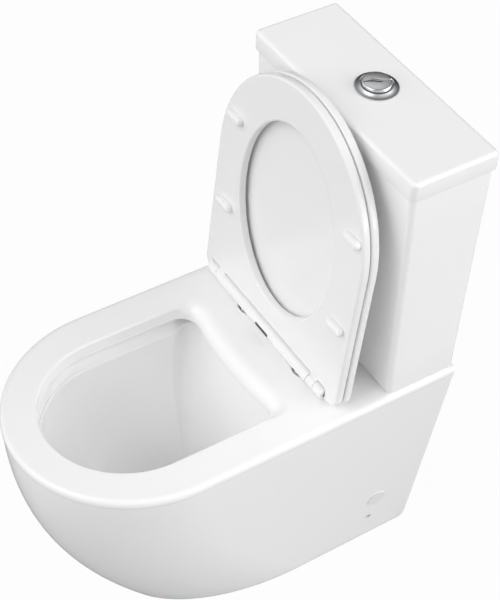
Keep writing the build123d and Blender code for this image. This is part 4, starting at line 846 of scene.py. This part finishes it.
def make_seat_ring():
    """Seat ring: a rounded profile carried round the outline, another round the hole, flats between them
    and an ear at each end of the hinge bar."""
    reach = SEAT_EAR + LID_EAR + 3 * EAR_GAP
    loop = seat_loop(pocket=(BAR_LOW[0] - reach, BAR_HIGH[0] + reach))
    sine, rest = quarter(7)
    outset = np.concatenate([[-SEAT_FLAT], sine - 1, (sine - 1)[::-1], [-SEAT_FLAT]]) * SEAT_EDGE_R
    height = np.concatenate([[SEAT_UNDER], SEAT_UNDER + SEAT_EDGE_R * rest,
                             SEAT_TOP - SEAT_EDGE_R * rest[::-1], [SEAT_TOP]])
    at_rear = loop[:, 1] > HINGE_Y - POCKET - POCKET_MARGIN
    between = np.abs(loop[:, 0] - SEAT_X) < SEAT_HALF - SEAT_CORNER_R
    outer = rolled(loop, outset, height, np.where(at_rear & between, POCKET_ROUND, 1.0))
    hole = arc((SEAT_X, HINGE_Y - SEAT_HOLE_REACH), SEAT_HOLE, 0, 360, 181)[:-1]
    above, below = SEAT_HOLE_TOP_R, SEAT_HOLE_UNDER_R
    inset = np.concatenate([[SEAT_FLAT * above], above * (1 - sine),
                            below * (1 - sine)[::-1], [EDGE_FLAT * below]])
    level = np.concatenate([[SEAT_TOP], SEAT_TOP - above * rest,
                            SEAT_UNDER + below * rest[::-1], [SEAT_UNDER]])
    inner = rolled(hole, inset, level)
    patches = [grid(outer, closed=True), grid(inner, closed=True), filled([outer[-1], inner[0]], (0, 0, 1)),
               filled([outer[0], inner[-1]], (0, 0, -1))]
    for x0, x1 in ear_spans(EAR_GAP, SEAT_EAR):
        patches.append(barrel(x0, x1, EAR_R, EAR_EDGE_R))
        web = box_loop(x0, x1, HINGE_Y - POCKET - SEAT_EDGE_R, HINGE_Y, EAR_EDGE_R)
        patches += slab(web, SEAT_UNDER, SEAT_TOP - SEAT_EDGE_R, EAR_EDGE_R)
    return piece("seat_ring_moulding", raised(patches), "white_seat_plastic", "seat", "seat_ring")


def make_seat_lid():
    """Seat lid: a rounded profile carried round the outline, a crowned top, a softly dished inside and an
    ear outside each ear of the seat."""
    loop = seat_loop(LID_GROW)
    sine, rest = quarter(8)
    small = LID_ROUND / 2
    edge_top = LID_TOP - LID_CROWN
    outset = np.concatenate([small * (sine - 1), LID_ROUND * (sine - 1)[::-1]])
    height = np.concatenate([LID_UNDER + small * rest, edge_top - LID_ROUND * rest[::-1]])
    wall = rolled(loop, outset, height)
    share = np.linspace(1, 0, 40)[:, None, None]
    under = wall[0, :, :2]
    middle = np.array([SEAT_X, HINGE_Y - SEAT_HOLE_REACH])
    plan = middle + (under - middle)[None] * share
    sunk = LID_UNDER + LID_DISH * ease(-share, -LID_BORDER - LID_BORDER_OUT, -LID_BORDER + LID_BORDER_IN)
    inside = np.concatenate([plan, np.broadcast_to(sunk, plan.shape[:2] + (1,))], axis=2)
    patches = [grid(wall, closed=True), grid(inside, closed=True, flip=True),
               domed(wall[-1, :, :2], edge_top, LID_CROWN)]
    for x0, x1 in ear_spans(SEAT_EAR + 2 * EAR_GAP, LID_EAR):
        patches.append(barrel(x0, x1, EAR_R, EAR_EDGE_R))
        web = box_loop(x0, x1, HINGE_Y - EAR_R / 2, HINGE_Y + EAR_R / 2, EAR_EDGE_R)
        patches += slab(web, HINGE_Z, LID_UNDER + OVERLAP, EAR_EDGE_R / 2)
    return piece("seat_lid_moulding", raised(patches), "white_seat_plastic", "lid", "seat_lid")


def make_hinge_mounts():
    """Two cups let into the deck, each with a pillar for the bar and a stud below: profiles turned about
    upright axes."""
    floor = RIM_TOP - MOUNT_DEPTH
    under = floor - CUP_BASE
    side_r = MOUNT_HOLE_R - CUP_PLAY
    cup = [(0, floor), (PILLAR_R, floor), (MOUNT_HOLE_R - CUP_FOOT_WALL, floor),
           (MOUNT_HOLE_R - CUP_MOUTH_WALL, CUP_MOUTH), (MOUNT_HOLE_R, FLANGE_TOP),
           (MOUNT_R - FLANGE_EDGE, FLANGE_TOP), (MOUNT_R, FLANGE_SIDE), (MOUNT_R, FLANGE_FOOT),
           (side_r, FLANGE_FOOT), (side_r, under), (0, under)]
    top, foot = MOUNTS_HIGH[2], MOUNTS_LOW[2]
    pillar = [(0, floor), (PILLAR_R, floor), (PILLAR_R, top - PILLAR_EDGE), (PILLAR_R - PILLAR_EDGE, top),
              (0, top)]
    stud = [(0, foot), (STUD_R - STUD_EDGE, foot), (STUD_R, foot + STUD_EDGE), (STUD_R, floor - OVERLAP),
            (0, floor - OVERLAP)]
    patches = []
    for side in (-1, 1):
        patches += [spun((side * MOUNT_X, MOUNT_Y), cup[::-1], 64)]
        patches += [spun((side * MOUNT_X, HINGE_Y), pillar, 40)]
        patches += [spun((side * MOUNT_X, HINGE_Y + STUD_SHIFT), stud, 32)]
    return piece("hinge_mount_cups", patches, "white_plastic", "base", "hinge_mounts")


def make_seat_pads():
    """Four soft pads under the seat: plates over oblong loops with well rounded edges."""
    half_spread = (PADS_HIGH[0] - PADS_LOW[0]) / 2 - FRAME_PAD_LENGTH / 2
    patches = []
    for reach in PAD_REACHES:
        for side in (-1, 1):
            x = SEAT_X + PAD_SHIFT + side * half_spread
            y = HINGE_Y - reach
            loop = box_loop(x - PAD_LENGTH / 2, x + PAD_LENGTH / 2, y - PAD_WIDTH / 2, y + PAD_WIDTH / 2,
                            PAD_CORNER_R)
            patches += slab(loop, PAD_FOOT, SEAT_UNDER + OVERLAP, PAD_EDGE_R)
    return piece("soft_seat_pads", raised(patches), "white_buffer", "seat", "seat_buffers")


# Flush button

def make_bezel():
    """Bezel: a profile that flares on power curves, turned about the button's axis."""
    low, high = BEZEL_LOW[2], BEZEL_HIGH[2]
    outer = BEZEL_HIGH[0]
    foot_in, foot_up = BEZEL_FOOT_EDGE
    mouth_out, mouth_down = BEZEL_MOUTH_EDGE
    rise = high - low - (BEZEL_SIDE + mouth_down)
    flare = np.linspace(0, 1, 14)[1:]
    slope = np.column_stack([outer - BEZEL_FLARE * flare ** BEZEL_OUT_CURVE,
                             low + BEZEL_SIDE + rise * flare ** BEZEL_UP_CURVE])
    profile = [(BEZEL_BORE_R, low), (outer - foot_in, low), (outer, low + foot_up), (outer, low + BEZEL_SIDE)]
    profile += slope.tolist()
    profile += [(BEZEL_BORE_R + mouth_out, high), (BEZEL_BORE_R, high - mouth_down), (BEZEL_BORE_R, low)]
    return piece("chrome_bezel", [spun((0, FLUSH_Y), profile)], "chromed_plastic", "base", "button_bezel")


def half_loop(side):
    """Half of the round button, anticlockwise: a sine line across the middle and the arc on one side."""
    across = np.linspace(-1, 1, 60) * math.sqrt(BUTTON_R ** 2 - (SPLIT_GAP / 2) ** 2)
    line = np.column_stack([side * SPLIT_GAP / 2 + SPLIT_SWAY * np.sin(math.pi * across / BUTTON_R), across])
    edge = math.degrees(math.asin(SPLIT_GAP / 2 / BUTTON_R))
    if side > 0:
        loop = chain(arc((0, 0), (BUTTON_R, BUTTON_R), edge - 90, 90 - edge, 80), line[::-1])
    else:
        loop = chain(arc((0, 0), (BUTTON_R, BUTTON_R), 90 + edge, 270 - edge, 80), line)
    turn = math.radians(SPLIT_TURN)
    matrix = np.array([[math.cos(turn), -math.sin(turn)], [math.sin(turn), math.cos(turn)]])
    return loop @ matrix.T + np.array([0, FLUSH_Y])


def make_buttons():
    """Two halves of the flush button: each loop carried up its side and over a round edge to a crowned top.
    Along the split the edge is rounded less."""
    sine, rest = quarter(7)
    for side, name in ((1, "full"), (-1, "half")):
        loop = half_loop(side)
        radius = np.linalg.norm(loop - np.array([0, FLUSH_Y]), axis=1)
        share = np.where(radius > BUTTON_R - ROUND_MARGIN, 1.0, SPLIT_ROUND)
        outset = np.concatenate([[0], -BUTTON_EDGE_R * rest])
        top = BUTTON_TOP - BUTTON_CROWN
        height = np.concatenate([[BUTTON_FOOT], top - BUTTON_EDGE_R * (1 - sine)])
        wall = rolled(loop, outset, height, share)
        patches = [grid(wall, closed=True), domed(wall[-1, :, :2], top, BUTTON_CROWN),
                   filled([wall[0]], (0, 0, -1))]
        piece(f"chrome_{name}_button", patches, "chromed_plastic", f"{name}_button", f"{name}_flush_button")


def dress_frame():
    """Gives every node that still shows the finish of its slot."""
    slots = {part["node"]: part["material_slot"] for part in frame["record"]["subparts"]}
    for name, thing in frame["nodes"].items():
        for place in thing.material_slots:
            place.material = FINISHES[slots[name]]


# Camera, light and floor

CAMERA_PLACE = (1.2782, -0.8327, 2.1153)
CAMERA_AZIMUTH = 54.894
CAMERA_ELEVATION = 45.779
CAMERA_ROLL = 3.742
CAMERA_FOCAL_PX = 1622.1
CAMERA_REACH = 50
IMAGE_LONG_PX = 600
SENSOR_MM = 36
FLOOR_REACH = 6
FLOOR_PAINT = "B4B4B4"
FLOOR_ROUGHNESS = 0.9
FLOOR_WHITE = 0.97

# Directions that light comes from, how strong it is and how tightly it is gathered
SKY = [
    ((0, -0.7, 0.7), 0.4, 2),
    ((0, -0.7, 0.7), 2.2, 12),
    ((-0.7, -0.7, 0.2), 0.5, 2),
    ((-0.7, -0.7, 0.2), 0.5, 12),
    ((0.7, 0.7, 0.2), 1, 2),
    ((0.7, 0.7, 0.2), 3.2, 12),
    ((0, -1, 0.2), 0.7, 8),
    ((0.7, 0, 0.7), 0.38, 6),
    ((-0.57, 0.4, 0.72), 0.7, 30),
]


def make_camera():
    """Camera at the photograph's angle, turned a little about its own axis."""
    azimuth, elevation, roll = [math.radians(a) for a in (CAMERA_AZIMUTH, CAMERA_ELEVATION, CAMERA_ROLL)]
    back = Vector((math.sin(azimuth) * math.cos(elevation), -math.cos(azimuth) * math.cos(elevation),
                   math.sin(elevation)))
    right = Vector((math.cos(azimuth), math.sin(azimuth), 0))
    up = back.cross(right)
    turned_right = right * math.cos(roll) + up * math.sin(roll)
    turned_up = up * math.cos(roll) - right * math.sin(roll)
    data = bpy.data.cameras.new("camera")
    data.sensor_width = SENSOR_MM
    data.lens = CAMERA_FOCAL_PX * SENSOR_MM / IMAGE_LONG_PX
    data.clip_end = CAMERA_REACH
    camera = bpy.data.objects.new("camera", data)
    bpy.context.scene.collection.objects.link(camera)
    camera.matrix_world = Matrix.Translation(CAMERA_PLACE) @ Matrix(
        (turned_right, turned_up, back)).transposed().to_4x4()
    bpy.context.scene.camera = camera


def lamp(name, place, target, size, power):
    """Soft rectangular lamp that faces a point."""
    data = bpy.data.lights.new(name, "AREA")
    data.shape = "RECTANGLE"
    data.size, data.size_y = size
    data.energy = power
    thing = bpy.data.objects.new(name, data)
    thing.location = place
    thing.rotation_euler = (Vector(target) - Vector(place)).to_track_quat("-Z", "Y").to_euler()
    bpy.context.scene.collection.objects.link(thing)


def calculated(tree, operation, socket, value):
    """Result of one operation on a socket and a value."""
    node = add(tree, "ShaderNodeMath", [(0, socket)], operation=operation)
    node.inputs[1].default_value = value
    return node.outputs[0]


def shown_white(tree):
    """1 for rays straight from the camera or through a clear surface, which see plain white, else 0."""
    path = add(tree, "ShaderNodeLightPath")
    rays = [(0, path.outputs["Is Camera Ray"]), (1, path.outputs["Is Transmission Ray"])]
    return add(tree, "ShaderNodeMath", rays, operation="MAXIMUM").outputs[0]


def glow_from(tree, direction, axis, level, tightness):
    """Soft light from one side of the sky: the level times a power of how far a ray points to the side."""
    toward = add(tree, "ShaderNodeVectorMath", [(0, direction)], operation="DOT_PRODUCT")
    toward.inputs[1].default_value = Vector(axis).normalized()
    ahead = calculated(tree, "MAXIMUM", toward.outputs["Value"], 0)
    lobe = calculated(tree, "POWER", ahead, tightness)
    return calculated(tree, "MULTIPLY", lobe, level)


def make_sky():
    """Surround that looks white and lights the object with the sum of the soft lights in SKY."""
    scene = bpy.context.scene
    scene.view_settings.view_transform = "Standard"
    world = bpy.data.worlds.new("studio")
    scene.world = world
    world.use_nodes = True
    tree = world.node_tree
    sky = tree.nodes["Background"]
    sky.inputs["Color"].default_value = (1, 1, 1, 1)
    direction = add(tree, "ShaderNodeTexCoord").outputs["Generated"]
    level = shown_white(tree)
    for axis, strength, tightness in SKY:
        glow = glow_from(tree, direction, axis, strength, tightness)
        level = add(tree, "ShaderNodeMath", [(0, level), (1, glow)]).outputs[0]
    tree.links.new(level, sky.inputs["Strength"])


def make_floor():
    """Pale floor that the camera sees as almost white, with a faint shadow."""
    low, high = -FLOOR_REACH, FLOOR_REACH
    mesh = bpy.data.meshes.new("floor")
    mesh.from_pydata([(low, low, 0), (high, low, 0), (high, high, 0), (low, high, 0)], [], [(0, 1, 2, 3)])
    floor = bpy.data.objects.new("floor", mesh)
    bpy.context.scene.collection.objects.link(floor)
    material = bpy.data.materials.new("pale_studio_floor")
    material.use_nodes = True
    tree = material.node_tree
    paint = tree.nodes["Principled BSDF"]
    paint.inputs["Base Color"].default_value = linear(FLOOR_PAINT)
    paint.inputs["Roughness"].default_value = FLOOR_ROUGHNESS
    glow = add(tree, "ShaderNodeEmission")
    share = calculated(tree, "MULTIPLY", shown_white(tree), FLOOR_WHITE)
    mix = add(tree, "ShaderNodeMixShader", [("Fac", share), (1, paint.outputs[0]), (2, glow.outputs[0])])
    tree.links.new(mix.outputs[0], tree.nodes["Material Output"].inputs["Surface"])
    mesh.materials.append(material)


make_pan()
make_cistern()
make_cistern_lid()
make_seat_ring()
make_seat_lid()
make_hinge_mounts()
make_seat_pads()
make_bezel()
make_buttons()
dress_frame()
make_sky()
make_floor()
lamp("window", place=(1.87, 1.06, 0.68), target=(0, 0, 0.35), size=(0.16, 0.16), power=1.1)
make_camera()
